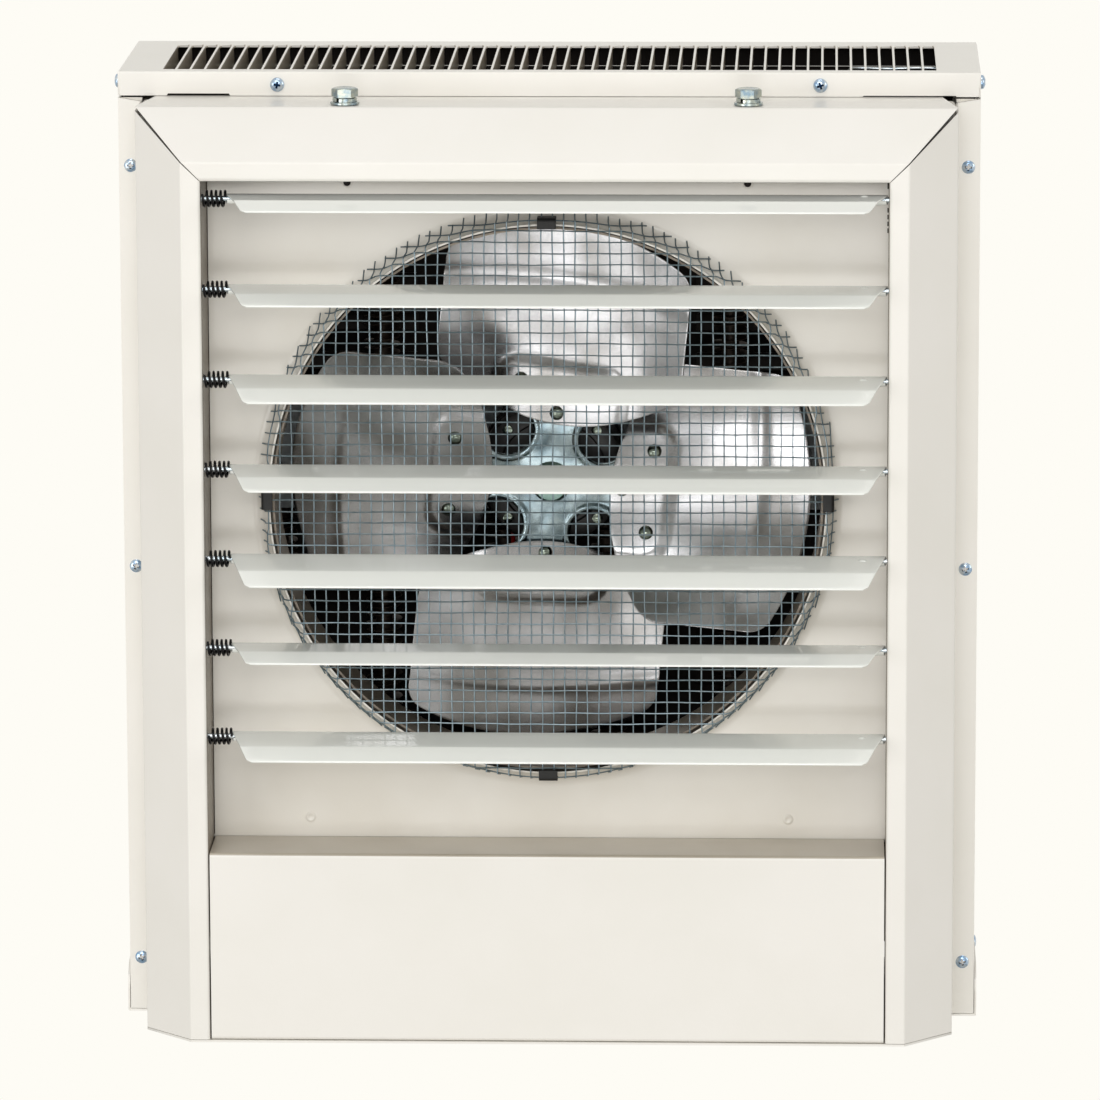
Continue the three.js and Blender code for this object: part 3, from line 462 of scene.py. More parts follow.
def openSeam(bm):  # the post's inner return stands clear of the baffle
    if max(v.co.x for v in bm.verts) > 0:
        sliced(bm, (0, 0, postReturn["rightFrom"]), (0, 0, 1))
    for vert in bm.verts:
        if vert.co.y > postReturn["back"] and abs(vert.co.x) < postReturn["wall"]:
            if vert.co.x < 0:
                vert.co.y -= postReturn["left"]
            elif vert.co.z > postReturn["rightFrom"] + 0.1:
                vert.co.y -= postReturn["right"]
    raiseStrip(bm)
    openMitre(bm)


flangeEnd = {"from": 224, "behind": 60, "slope": 8}


def cutFlange(bm):  # the top flange's ends slope back to clear the case
    for vert in bm.verts:
        if abs(vert.co.x) > flangeEnd["from"] and vert.co.y > flangeEnd["behind"]:
            vert.co.x -= math.copysign(flangeEnd["slope"], vert.co.x)


clipLeg = {"shorter": 2.4, "within": 155.5}


def shortenClip(bm):  # the front leg ends nearer to the collar
    guardLow, guardHigh = localBox("fan_guard")
    middle = (guardLow + guardHigh) / 2
    for vert in bm.verts:
        out = Vector((vert.co.x - middle.x, 0, vert.co.z - middle.z))
        if out.length < clipLeg["within"]:
            vert.co += Vector((round(out.x / out.length), 0, round(out.z / out.length))) * clipLeg["shorter"]


# Which colour a face has: 0 the paint, 1 painted shade inside, 2 and 3 darker paint as painted shade in recesses
paintWithShade = [ivoryEnamel, paintedShade, recessShadeEnamel, returnShadeEnamel]
shadeStarts = {"innerWall": 189.5, "flange": 69.8, "caseWall": 230, "ledge": 100}


def postShade(f, spot):
    if abs(spot.x) < shadeStarts["innerWall"] and abs(f.normal.x) > 0.7:
        return 3
    return f.normal.y > 0.6


def topShade(f, spot):
    return spot.y > shadeStarts["flange"] or f.normal.z < -0.9


def panelShade(f, spot):
    if f.normal.z > 0.7 and spot.z > shadeStarts["ledge"]:
        return 2
    return f.normal.y > 0.7


def caseShade(f, spot):
    return abs(spot.x) > shadeStarts["caseWall"] and f.normal.x * math.copysign(1, spot.x) < -0.7


for side in ("left", "right"):
    softened(f"bezel_{side}", f"bezelPost{side.title()}", "cabinet", paintWithShade, openSeam, postShade)
softened("bezel_top", "bezelTopMember", "cabinet", paintWithShade, cutFlange, topShade)
softened("lower_front_panel", "lowerFrontPanel", "cabinet", paintWithShade, None, panelShade)
for side in ("left", "right"):
    softened(f"case_side_{side}", f"caseSide{side.title()}", "cabinet", [caseShadedEnamel, paintedShade],
             raiseStrip, caseShade)
softened("bottom_door", "bottomDoor", "door", ivoryEnamel)
softened("control_tray", "controlTray", "cabinet", galvanisedSheet)
softened("motor_bracket", "motorBracket", "cabinet", galvanisedSheet)
for side in ("top", "bottom", "left", "right"):
    softened(f"guard_clip_{side}", f"guardClip_{side}", "cabinet", blackClip, shortenClip, fold=0.5)
print("folded sheets eased")


# Lid: one slotted sheet with its front, sides and back turned down
lid = {"pitch": 8, "slots": 54, "slotWidth": 6.8, "frontMargin": 8.4, "backMargin": 19, "sheet": 1.2, "fold": 1.1,
       "cornerGap": 1.3, "dogEar": 1.1, "tabDrop": 12, "tabNotch": 2.5, "tabSheet": 0.8,
       "gaps": [(-212, -178, 1.2), (175, 226, 0.6)], "gapSlope": 0.7}  # where the front edge gapes, and how far
lidLow, lidHigh = localBox("top_lid")
slotFront, slotBack = lidLow.y + lid["frontMargin"], lidHigh.y - lid["backMargin"]


def slotMiddle(k):
    return (k - (lid["slots"] - 1) / 2) * lid["pitch"]


def topLid():
    bm = flatSheet([(x, y, lidHigh.z) for x, y in (
        (lidLow.x, lidLow.y), (lidHigh.x, lidLow.y), (lidHigh.x, lidHigh.y), (lidLow.x, lidHigh.y))])
    for y in (slotFront, slotBack):
        sliced(bm, (0, y, 0), (0, 1, 0))
    cuts = [slotMiddle(k) + sign * lid["slotWidth"] / 2 for k in range(lid["slots"]) for sign in (-1, 1)]
    for start, end, rise in lid["gaps"]:
        cuts += [start - lid["gapSlope"], start, end, end + lid["gapSlope"]]
    for x in cuts:
        sliced(bm, (x, 0, 0), (1, 0, 0))

    def slotted(face):
        spot = face.calc_center_median()
        nearest = min(abs(slotMiddle(k) - spot.x) for k in range(lid["slots"]))
        return slotFront < spot.y < slotBack and nearest < lid["slotWidth"] / 2

    bmesh.ops.delete(bm, geom=[f for f in bm.faces if slotted(f)], context="FACES")
    for axis, reach, sign in ((1, lidLow.y, 1), (0, lidLow.x, 0), (0, lidHigh.x, 0), (1, lidHigh.y, -1)):
        rim = [e for e in bm.edges if e.is_boundary
               and all(abs(v.co[axis] - reach) < 1e-3 and v.co.z > lidHigh.z - 0.01 for v in e.verts)]
        for vert in extruded(bm, rim)[0]:
            vert.co.z = lidLow.z
            if sign and abs(abs(vert.co.x) - lidHigh.x) < 0.01:  # the corners stay open
                vert.co.x -= math.copysign(lid["cornerGap"], vert.co.x)
            for start, end, rise in lid["gaps"]:
                if sign > 0 and start - 0.01 < vert.co.x < end + 0.01:
                    vert.co.z += rise
    faceTowards(bm, 0, 0, 1)
    rounded(bm, foldsOver(bm, 60), lid["fold"], 3)
    return bm


cover = addPiece(topLid(), "topLid", "cabinet", paintWithShade, ["top_lid"])
# its underside is coloured as painted shade
thicken(cover, lid["sheet"], 0.2, shadedInside=True)

lidTabs = []
top, low = lidHigh.z - 0.4, lidHigh.z - lid["tabDrop"]
for k in range(lid["slots"]):
    x = slotMiddle(k) - lid["slotWidth"] / 2 + 0.05
    lidTabs.append(plate([
        (x, slotFront + 0.3, top), (x, slotBack - lid["tabNotch"], top),
        (x, slotBack + 3, low), (x, slotFront + 2, low),
    ], lid["tabSheet"]))
    for ear in (-1, 1):  # the tab's tongue leaves small ears at the slot's far end
        side, inwards = slotMiddle(k) + ear * lid["slotWidth"] / 2, -ear * lid["dogEar"]
        lidTabs.append(plate([
            (side, slotBack + 0.2, top), (side + inwards, slotBack + 0.2, top),
            (side + inwards * 0.3, slotBack - 4, top), (side, slotBack - 5, top),
        ], lid["tabSheet"]))
# the tabs take darker paint as painted shade in the slots
addPiece(combined(lidTabs), "lidTabs", "cabinet", recessShadeEnamel)

# Rear sheet: three columns of slots, each with its tab turned in
rear = {"columns": 3, "rows": 16, "columnPitch": 142, "rowPitch": 23, "firstRow": 30,
        "slotLength": 122, "slotHeight": 8, "sheet": 1.2, "top": 526.1, "tabSheet": 0.9, "tabReach": 12, "tabAngle": 42}
rearLow, rearHigh = localBox("rear_grille")
rearSlots = [Vector(((column - (rear["columns"] - 1) / 2) * rear["columnPitch"], rearHigh.y,
                     rearHigh.z - rear["firstRow"] - row * rear["rowPitch"]))
             for column in range(rear["columns"]) for row in range(rear["rows"])]


def rearSheet():
    bm = flatSheet([(x, rearHigh.y, z) for x, z in (
        (rearLow.x, rearLow.z), (rearLow.x, rear["top"]), (rearHigh.x, rear["top"]), (rearHigh.x, rearLow.z))])
    half = Vector((rear["slotLength"] / 2, 0, rear["slotHeight"] / 2))
    cuts = {(round(middle[axis] + sign * half[axis], 3), axis)
            for middle in rearSlots for axis in (0, 2) for sign in (-1, 1)}
    for place, axis in sorted(cuts):
        normal = Vector((axis == 0, 0, axis == 2))
        sliced(bm, normal * place, normal)
    holes = [f for f in bm.faces if any((f.calc_center_median() - middle).length < 1 for middle in rearSlots)]
    bmesh.ops.delete(bm, geom=holes, context="FACES")
    faceTowards(bm, 0, 1, 0)
    return bm


backSheet = addPiece(rearSheet(), "rearGrille", "cabinet", paintWithShade, ["rear_grille"])
# its inside face is coloured as painted shade
thicken(backSheet, rear["sheet"], 0.25, shadedInside=True)
rearTabs = []
tabFront, tabSlope = rearLow.y + 0.3, math.radians(rear["tabAngle"])
for middle in rearSlots:
    top, reach = middle.z + rear["slotHeight"] / 2, rear["slotLength"] / 2 + 1
    foot = (tabFront - rear["tabReach"] * math.sin(tabSlope), top - rear["tabReach"] * math.cos(tabSlope))
    rearTabs.append(strip(middle.x - reach, middle.x + reach, (tabFront, top), foot, rear["tabSheet"]))
# the turned-in tabs are coloured as painted shade
addPiece(combined(rearTabs), "rearGrilleTabs", "cabinet", paintedShade)
print("lid and rear sheet slotted")


# Baffle: a flat panel with a drawn collar, its edges returned
baffle = {"sheet": 1.2, "collarRadius": 154.8, "collarHeight": 10, "fillet": 9.5, "filletSteps": 9, "fold": 1.6,
          "flange": 22, "steps": 160, "screwX": 111, "screwZ": 481.5, "dimpleX": 134.4, "dimpleZ": 120}
ringLow, ringHigh = localBox("fan_shroud")
fanX, fanZ = (ringLow.x + ringHigh.x) / 2, (ringLow.z + ringHigh.z) / 2
panelLow, panelHigh = localBox("baffle_panel")
baffleFace = panelLow.y + baffle["collarHeight"]
collarOuter = baffle["collarRadius"] + baffle["sheet"]
collarBase = collarOuter + baffle["fillet"]


def bafflePanel():
    bm = bmesh.new()
    centre = Vector((fanX, baffleFace, fanZ))
    hole = bmesh.ops.create_circle(bm, segments=baffle["steps"], radius=collarBase,
                                   matrix=at(*centre) @ frontwards)["verts"]
    rim = list({e for v in hole for e in v.link_edges})
    corners = [bm.verts.new((x, baffleFace, z)) for x, z in (
        (panelLow.x, panelLow.z), (panelHigh.x, panelLow.z), (panelHigh.x, panelHigh.z), (panelLow.x, panelHigh.z))]
    outline = [bm.edges.new((a, b)) for a, b in zip(corners, corners[1:] + corners[:1])]
    bmesh.ops.triangle_fill(bm, edges=rim + outline, use_beauty=True)
    bmesh.ops.translate(bm, vec=(0, baffle["flange"], 0), verts=extruded(bm, outline)[0])
    edge = [e for e in bm.edges
            if e.is_boundary and all(abs((v.co - centre).length - collarBase) < 0.5 for v in e.verts)]
    section = []  # radius and depth, from the panel to the collar's front
    for k in range(1, baffle["filletSteps"] + 1):
        angle = math.pi / 2 * (1 - k / baffle["filletSteps"])
        section.append((collarBase - baffle["fillet"] * math.cos(angle),
                        baffleFace - baffle["fillet"] * (1 - math.sin(angle))))
    for radius, depth in section + [(collarOuter, panelLow.y)]:
        verts, edge = extruded(bm, edge)
        for vert in verts:
            out = Vector((vert.co.x - fanX, 0, vert.co.z - fanZ)).normalized()
            vert.co = Vector((fanX, depth, fanZ)) + out * radius
    faceTowards(bm, 0, -1, 0)
    rounded(bm, foldsOver(bm, 80), baffle["fold"], 3)
    return bm


panel = addPiece(bafflePanel(), "bafflePanel", "cabinet", [baffleShadedEnamel, paintedShade],
                 ["baffle_panel"])
# its back is coloured as painted shade
thicken(panel, baffle["sheet"], 0.25, shadedInside=True)


def onBaffle(shape, x, z):  # two copies of a small shape, left and right
    made = combined([copyOf(shape, at(sign * x, baffleFace, z) @ frontwards) for sign in (-1, 1)])
    shape.free()
    return made


dimple = lathe([(0, 0.1), (0.9, 0.18), (1.5, 0.55), (2.0, 0.6), (2.6, 0.3), (3.2, -0.05)], 24)
addPiece(onBaffle(dimple, baffle["dimpleX"], baffle["dimpleZ"]), "baffleDimples", "cabinet",
         baffleShadedEnamel)

# The open seams beside the baffle as dark lines of painted shadow: x, low, high and width, and slits at these heights
baffleSeam = {"left": (-189.1, 110, 487.5, 0.9), "right": (188.9, 478.5, 487.5, 1.2),
              "slits": (466.6, 462.8, 459, 455.2), "slitX": 188.9, "slitHalf": 1.3, "slitWidth": 1.1, "proud": 0.05}
seamLines = [baffleSeam["left"], baffleSeam["right"]]
half = baffleSeam["slitHalf"]
for z in baffleSeam["slits"]:
    seamLines.append((baffleSeam["slitX"], z - half, z + half, baffleSeam["slitWidth"]))
seamFace = baffleFace - baffleSeam["proud"]
dark = [strip(x - width / 2, x + width / 2, (seamFace, low), (seamFace, high), 0.15)
        for x, low, high, width in seamLines]
addPiece(combined(dark), "baffleSeamShadows", "cabinet", paintedShade)

# Shroud: a rolled ring with a flange against the baffle
shroud = {"sheet": 1.2, "flange": 26, "flangeGap": 1.5}
flangeRadius = ringHigh.x - fanX
wallOuter = flangeRadius - shroud["flange"]
wallInner = wallOuter - shroud["sheet"]
flangeFront = baffleFace + shroud["flangeGap"]
wall = lathe([
    (wallInner, ringLow.y), (wallOuter, ringLow.y), (wallOuter, flangeFront), (flangeRadius, flangeFront),
    (flangeRadius, flangeFront + shroud["sheet"]), (wallOuter, flangeFront + shroud["sheet"]), (wallOuter, ringHigh.y),
    (wallInner, ringHigh.y), (wallInner, ringLow.y),
], 128)
addPiece(wall, "fanShroud", "cabinet", shroudShadedSteel, ["fan_shroud"],
         cabinetPlace @ at(fanX, 0, fanZ) @ backwards)
print("baffle and shroud drawn")


# Guard: quarter inch welded mesh, its edge folded back round the collar
guard = {"pitch": 6.35, "wire": 0.41, "rim": 156.6, "fold": 12.5, "step": 3.2, "turn": 1.6, "flareFrom": 3.5,
         "flare": 2.6, "flareTop": 2.2, "sway": 0.35, "ripple": 0.12}
guardLow, guardHigh = localBox("fan_guard")
guardFace = guardLow.y + guard["wire"]


def overRim(x, z, layer):  # a point of the flat mesh, carried over the collar's rim
    reach = math.hypot(x, z)
    past = reach - guard["rim"]
    if past <= 0:
        return (fanX + x, guardFace + layer, fanZ + z)
    turned, back = min(past / guard["turn"], 1), max(0, past - guard["turn"])
    flare = smoothStep(back, guard["flareFrom"], guard["fold"]) * (guard["flare"] + guard["flareTop"] * z / reach)
    radius = guard["rim"] + 1.4 * turned + 0.14 * back + flare + layer
    depth = guardFace + 0.9 * turned + 0.88 * back - 0.2 * flare
    return (fanX + x / reach * radius, depth, fanZ + z / reach * radius)


def meshWires(upright):
    paths = []
    count = int((guard["rim"] + 6) / guard["pitch"])
    layer = guard["wire"] * 1.7 if upright else 0
    for k in range(-count, count + 1):
        offset = (k + 0.5 * upright) * guard["pitch"] * (1 + 0.0008 * dice.uniform(-1, 1))
        ends = []
        for sign in (-1, 1):
            cut = guard["rim"] + guard["fold"] * dice.uniform(0.82, 1.02)
            ends.append(sign * math.sqrt(max(4, cut ** 2 - offset ** 2)))
        steps = max(4, round((ends[1] - ends[0]) / guard["step"]))
        sway, phase = dice.uniform(-guard["sway"], guard["sway"]), dice.uniform(0, 6.28)
        path = []
        for s in range(steps + 1):
            along = ends[0] + (ends[1] - ends[0]) * s / steps
            across = offset + sway * math.sin(along / 23 + phase) + guard["ripple"] * math.sin(along / 5.1 + 2 * phase)
            path.append(overRim(across, along, layer) if upright else overRim(along, across, layer))
        paths.append(path)
    return paths


wires = combined([tubes(meshWires(upright), guard["wire"]) for upright in (True, False)])
addPiece(wires, "fanGuardMesh", "cabinet", galvanisedWire, ["fan_guard"])
print("guard woven")


# Louvres: rolled strips with a curled hem and a dropped lip, each on its rod with a friction spring
louver = {"hemRadius": 2.35, "web": 20, "flat": 18.6, "lip": 11, "lipAngle": 17.5, "foldReach": 6.72, "foldDrop": 0.448,
          "foldInset": 6.2, "tipInset": 10.6, "corner": 2.4, "sheet": 0.9, "stations": 10,
          "rod": 1.6, "rodChamfer": 0.4,
          "springDiameter": 9.7, "springReach": 1.2, "springWire": 1.45, "springTurns": 5, "springSteps": 22,
          "dimple": 1.7, "dimpleInset": 13, "dimpleY": -4.6}
louverTilts = [2, 5.5, 12, 10, 16, 2, 11.5]  # degrees, front down, from the top


def louverSection():  # middle of the sheet as [y, z], from the hem to the lip's edge
    points = []
    radius, flat, slope = louver["hemRadius"], louver["flat"], math.radians(louver["lipAngle"])
    for k in range(19):
        angle = math.radians(-180 + 15 * k)
        points.append((radius * math.cos(angle), radius * math.sin(angle)))
    points += [(-flat * k / 5, radius) for k in range(1, 6)]
    for k in range(1, 5):
        points.append((-flat - louver["foldReach"] * math.sin(slope * k / 4),
                       radius - louver["foldDrop"] * (k / 4) ** 2))
    y, z = points[-1]
    lip = louver["lip"] + louver["web"] + y
    for share in (0.2, 0.4, 0.55, 0.65, 0.75, 0.84, 0.91, 0.96, 0.99, 1):
        points.append((y - lip * share * math.cos(slope), z - lip * share * math.sin(slope)))
    y, z = points[-1]
    return points + [(y - 0.35, z - 0.3), (y - 0.45, z - 0.8)]


def louverBlade(left, right):
    section = louverSection()
    bm = bmesh.new()
    profile = [bm.verts.new((0, y, z)) for y, z in section]
    edges = [bm.edges.new(pair) for pair in zip(profile, profile[1:])]
    tip = section[-1][0]

    def inset(y):  # the ends slope in towards the lip and round its corner
        if y > 1:
            return 0
        drawn = louver["foldInset"] * min(1 - y, louver["web"] + 1) / (louver["web"] + 1)
        if -y > louver["web"]:
            drawn += (louver["tipInset"] - louver["foldInset"]) * (-y - louver["web"]) / (-tip - louver["web"])
        into = louver["corner"] - (y - tip)
        if into > 0:
            drawn += louver["corner"] - math.sqrt(max(0, louver["corner"] ** 2 - into ** 2))
        return drawn

    for k in range(louver["stations"]):
        verts, edges = extruded(bm, edges)
        bmesh.ops.translate(bm, vec=(1, 0, 0), verts=verts)
    for vert in bm.verts:
        share, drawn = vert.co.x / louver["stations"], inset(vert.co.y)
        vert.co.x = (left + drawn) * (1 - share) + (right - drawn) * share
    faceTowards(bm, 0, 0, 1)
    return bm


def coil(turns, steps, radius, length):
    start, wire = 2.5, louver["springWire"]
    path = [(0, radius * math.cos(start), radius * math.sin(start))]
    for k in range(turns * steps + 1):
        angle = start + 2 * math.pi * k / steps
        along = wire / 2 + (length - wire) * k / (turns * steps)
        path.append((along, radius * math.cos(angle), radius * math.sin(angle)))
    return path


for k, tilt in enumerate(louverTilts, 1):
    rodLow, rodHigh = localBox(f"louver_rod_{k}")
    springLow, springHigh = localBox(f"louver_spring_{k}")
    bladeLow, bladeHigh = localBox(f"louver_blade_{k}")
    pivot = (rodLow + rodHigh) / 2
    hung = cabinetPlace @ at(0, pivot.y, pivot.z) @ rotation(tilt, "X")
    blade = addPiece(louverBlade(bladeLow.x, bladeHigh.x), f"louverBlade_{k}", f"louver_{k}",
                     louverEnamel, [f"louver_blade_{k}"], hung, edgeAngle=60)
    thicken(blade, louver["sheet"], 0.2, offset=0)
    radius, chamfer = louver["rod"], louver["rodChamfer"]
    rod = lathe([(0, rodLow.x), (radius - chamfer, rodLow.x), (radius, rodLow.x + chamfer),
                 (radius, rodHigh.x - chamfer), (radius - chamfer, rodHigh.x), (0, rodHigh.x)], 20)
    addPiece(rod, f"louverRod_{k}", f"louver_{k}", zincSteel, [f"louver_rod_{k}"],
             hung @ rotation(90, "Y"))
    wound = coil(louver["springTurns"], louver["springSteps"], (louver["springDiameter"] - louver["springWire"]) / 2,
                 springHigh.x - springLow.x + louver["springReach"])
    turned = Matrix.Rotation(dice.uniform(-0.5, 0.5), 4, "X")
    addPiece(tubes([wound], louver["springWire"] / 2, 2), f"louverSpring_{k}", "cabinet", blackOxide,
             [f"louver_spring_{k}"], cabinetPlace @ at(springLow.x, pivot.y, pivot.z) @ turned)
    spot = at(bladeHigh.x - louver["dimpleInset"], louver["dimpleY"], louver["hemRadius"] + louver["sheet"] / 2 - 0.1)
    mark = lathe([(0, 0.75), (0.9, 0.6), (louver["dimple"], 0)], 20)
    addPiece(mark, f"louverDimple_{k}", f"louver_{k}", louverEnamel, (),
             hung @ spot @ Matrix.Scale(1.5, 4, (1, 0, 0)))
print("louvres hung")


# Fan: four pressed blades riveted to a spider, on a hub and a shaft
fan = {"turn": 6, "pitch": -19, "radius": 147, "halfChord": 74, "root": 33.5, "shoulder": 60, "sheet": 1.2,
       "camber": 7, "tipCorner": 8, "rootCorner": 8, "flatHalf": 36, "flatEnd": 66,
       "pad": 2.1, "padHalf": 24, "padEnd": 53, "padCorner": 13, "padSlope": (-2, 5.5),
       "ridge": 117, "ridgeHeight": 0.9, "ridgeWidth": 4.2, "ridgeBow": 0.0013,
       "rivet": 4.1, "rivetHeight": 2.6, "rivetReach": 60.8, "rivetSpread": 22.5, "rivetInner": 40.2,
       "hubFront": 8, "hubRadius": 9.85, "hubCollar": 2.5, "hubBack": -14, "bore": 4.2, "shaft": 4,
       "armFront": 0.9, "armSheet": 2}
spiderLow = localBox("fan_spider")[0]
fanPlane = spiderLow.y + fan["hubFront"]
fanPlace = cabinetPlace @ at(fanX, fanPlane, fanZ) @ rotation(fan["turn"], "Y")


def bladeShape(x, z):  # how far the sheet lies behind the flat root
    share = abs(z) / fan["halfChord"]
    pastRoot = smoothStep(x, fan["flatEnd"], fan["flatEnd"] + fan["flatHalf"])
    pastFlat = smoothStep(abs(z), fan["flatHalf"], fan["halfChord"])
    lift = 1 - (1 - pastRoot) * (1 - pastFlat)
    ridge = fan["ridgeHeight"] * math.exp(-((x - fan["ridge"] + fan["ridgeBow"] * z * z) / fan["ridgeWidth"]) ** 2)
    edge = math.hypot(max(0, abs(z) - fan["padHalf"]), max(0, x - fan["padEnd"])) - fan["padCorner"]
    pad = fan["pad"] * (1 - smoothStep(edge, *fan["padSlope"]))  # the root's raised pad: a rounded trapezoid
    return -fan["camber"] * share ** 2 * lift - pad - ridge


def fanBlade():
    bm = bmesh.new()
    bmesh.ops.create_grid(bm, x_segments=64, y_segments=72, size=1)

    def corner(distance, radius):
        into = max(0, distance - (fan["halfChord"] - radius))
        return radius - math.sqrt(max(0, radius ** 2 - into ** 2))

    for vert in bm.verts:
        along, across = (vert.co.x + 1) / 2, vert.co.y
        z = fan["halfChord"] * (0.35 * across + 0.65 * math.sin(math.pi / 2 * across))
        inner = fan["root"] + (fan["shoulder"] - fan["root"]) * (z / fan["halfChord"]) ** 2
        inner += corner(abs(z), fan["rootCorner"])
        outer = math.sqrt(fan["radius"] ** 2 - z * z) - corner(abs(z), fan["tipCorner"])
        x = inner + (outer - inner) * along
        vert.co = (x, bladeShape(x, z), z)
    bmesh.ops.remove_doubles(bm, verts=bm.verts, dist=1e-3)
    faceTowards(bm, 0, -1, 0)
    return bm


rivetProfile = [(0, fan["rivetHeight"])]
for k in range(1, 7):
    angle = math.radians(15 * k)
    rivetProfile.append((fan["rivet"] * math.sin(angle), fan["rivetHeight"] * math.cos(angle)))
rivetHead = lathe(rivetProfile + [(fan["rivet"] - 0.1, -0.4), (0, -0.4)], 28)
rivetAngle = math.radians(fan["rivetSpread"])
outerX, outerZ = fan["rivetReach"] * math.cos(rivetAngle), fan["rivetReach"] * math.sin(rivetAngle)
for k in range(4):
    arm = fanPlace @ rotation(90 * k, "Y") @ rotation(fan["pitch"], "X")
    blade = addPiece(fanBlade(), f"fanBlade_{k + 1}", "fan", fanAluminium, [f"fan_blade_{k + 1}"], arm,
                     edgeAngle=60)
    thicken(blade, fan["sheet"], 0.2, offset=0)
    heads = [copyOf(rivetHead, at(x, bladeShape(x, z) - fan["sheet"] / 2, z) @ frontwards)
             for x, z in ((fan["rivetInner"], 0), (outerX, outerZ), (outerX, -outerZ))]
    addPiece(combined(heads), f"bladeRivets_{k + 1}", "fan", rivetZinc, (), arm)
rivetHead.free()

star = {"reach": 62, "half": 32, "notch": 13.4, "centre": 27, "toe": 8, "heel": 5, "grid": 4,
        "twistFrom": 12, "twistTo": 38,
        "rim": [(0.4, 1.1), (0.7, 0.9), (0.9, 0.4), (1.0, -0.1), (0.9, -0.6), (0.7, -0.4), (0.5, -0.05)]}  # width, rise


def quarterTurn(x, z, k):
    turn = math.pi / 2 * k
    return x * math.cos(turn) - z * math.sin(turn), x * math.sin(turn) + z * math.cos(turn)


def spiderTwist(x, z):  # each arm is twisted to the blades' pitch
    for k in range(4):
        along, across = quarterTurn(x, z, k)
        if along > abs(across):
            share = smoothStep(along, star["twistFrom"], star["twistTo"]) * smoothStep(along - abs(across), -1, 8)
            return across * math.sin(math.radians(-fan["pitch"]) * share)
    return 0


def arc(cx, cz, radius, start, end, steps):
    angles = [math.radians(start + (end - start) * k / steps) for k in range(steps + 1)]
    return [(cx + radius * math.cos(angle), cz + radius * math.sin(angle)) for angle in angles]


def fanSpider():
    toe = arc(star["reach"] - star["toe"], star["half"] - star["toe"], star["toe"], 0, 90, 6)
    heel = arc(star["centre"] + star["notch"] + star["heel"], star["half"] - star["heel"], star["heel"], 90, 180, 5)
    notch = arc(star["centre"], star["centre"], star["notch"], 0, -270, 36)[1:-1]
    quarter = [(star["reach"], 0)] + toe + heel + notch + [(z, x) for x, z in (toe + heel)[::-1]]
    bm = bmesh.new()
    turned = [quarterTurn(x, z, k) for k in range(4) for x, z in quarter]
    outline = [bm.verts.new((x, 0, z)) for x, z in turned]
    edges = [bm.edges.new(pair) for pair in zip(outline, outline[1:] + outline[:1])]
    bmesh.ops.edgenet_fill(bm, edges=edges)
    faceTowards(bm, 0, -1, 0)
    for width, rise in star["rim"]:
        flat = max(bm.faces, key=lambda f: f.calc_area())
        bmesh.ops.inset_region(bm, faces=[flat], thickness=width, depth=rise, use_even_offset=True, use_boundary=True)
    for k in range(-15, 16):
        for normal in (Vector((1, 0, 0)), Vector((0, 0, 1))):
            sliced(bm, normal * (k * star["grid"] + 0.01), normal)
    drop = sum(rise for width, rise in star["rim"])
    for vert in bm.verts:
        vert.co.y += fan["armFront"] + drop + spiderTwist(vert.co.x, vert.co.z)
    return bm


spider = addPiece(fanSpider(), "fanSpider", "fan", spiderZinc, ["fan_spider"], fanPlace, edgeAngle=40)
thicken(spider, fan["armSheet"], 0.2)
front, back, outer, bore = fan["hubFront"], fan["hubBack"], fan["hubRadius"], fan["bore"]
collar = outer + fan["hubCollar"]
hub = lathe([
    (bore, front - 0.7), (bore + 0.7, front), (outer - 0.9, front), (outer, front - 0.9), (outer, 0.5), (collar, -1.4),
    (collar, -3.0), (outer, -3.4), (outer, back + 0.6), (outer - 0.6, back), (bore, back), (bore, front - 0.7),
], 56)
addPiece(hub, "fanHub", "fan", chromate, (), fanPlace @ frontwards)
shaftLow, shaftHigh = localBox("fan_shaft")
front, back, radius = fanPlane - shaftLow.y, fanPlane - shaftHigh.y, fan["shaft"]
shaft = lathe([(0, front), (radius - 0.6, front), (radius, front - 0.6), (radius, back), (0, back)], 32)
addPiece(shaft, "fanShaft", "fan", zincSteel, ["fan_shaft"], fanPlace @ frontwards)
print("fan made")

# Screws: pan heads with a cross recess
screw = {"radius": 3.95, "height": 2.7, "recessLong": 4.9, "recessWide": 1.35, "recessDepth": 2.1, "recessTaper": 0.45,
         "sway": 0.35, "stripInset": 6.6, "stripHeights": (31.6, 259, 487), "lidX": 151, "lidZ": 532.6,
         "lidSideInset": 11, "lidSideZ": 533.2}


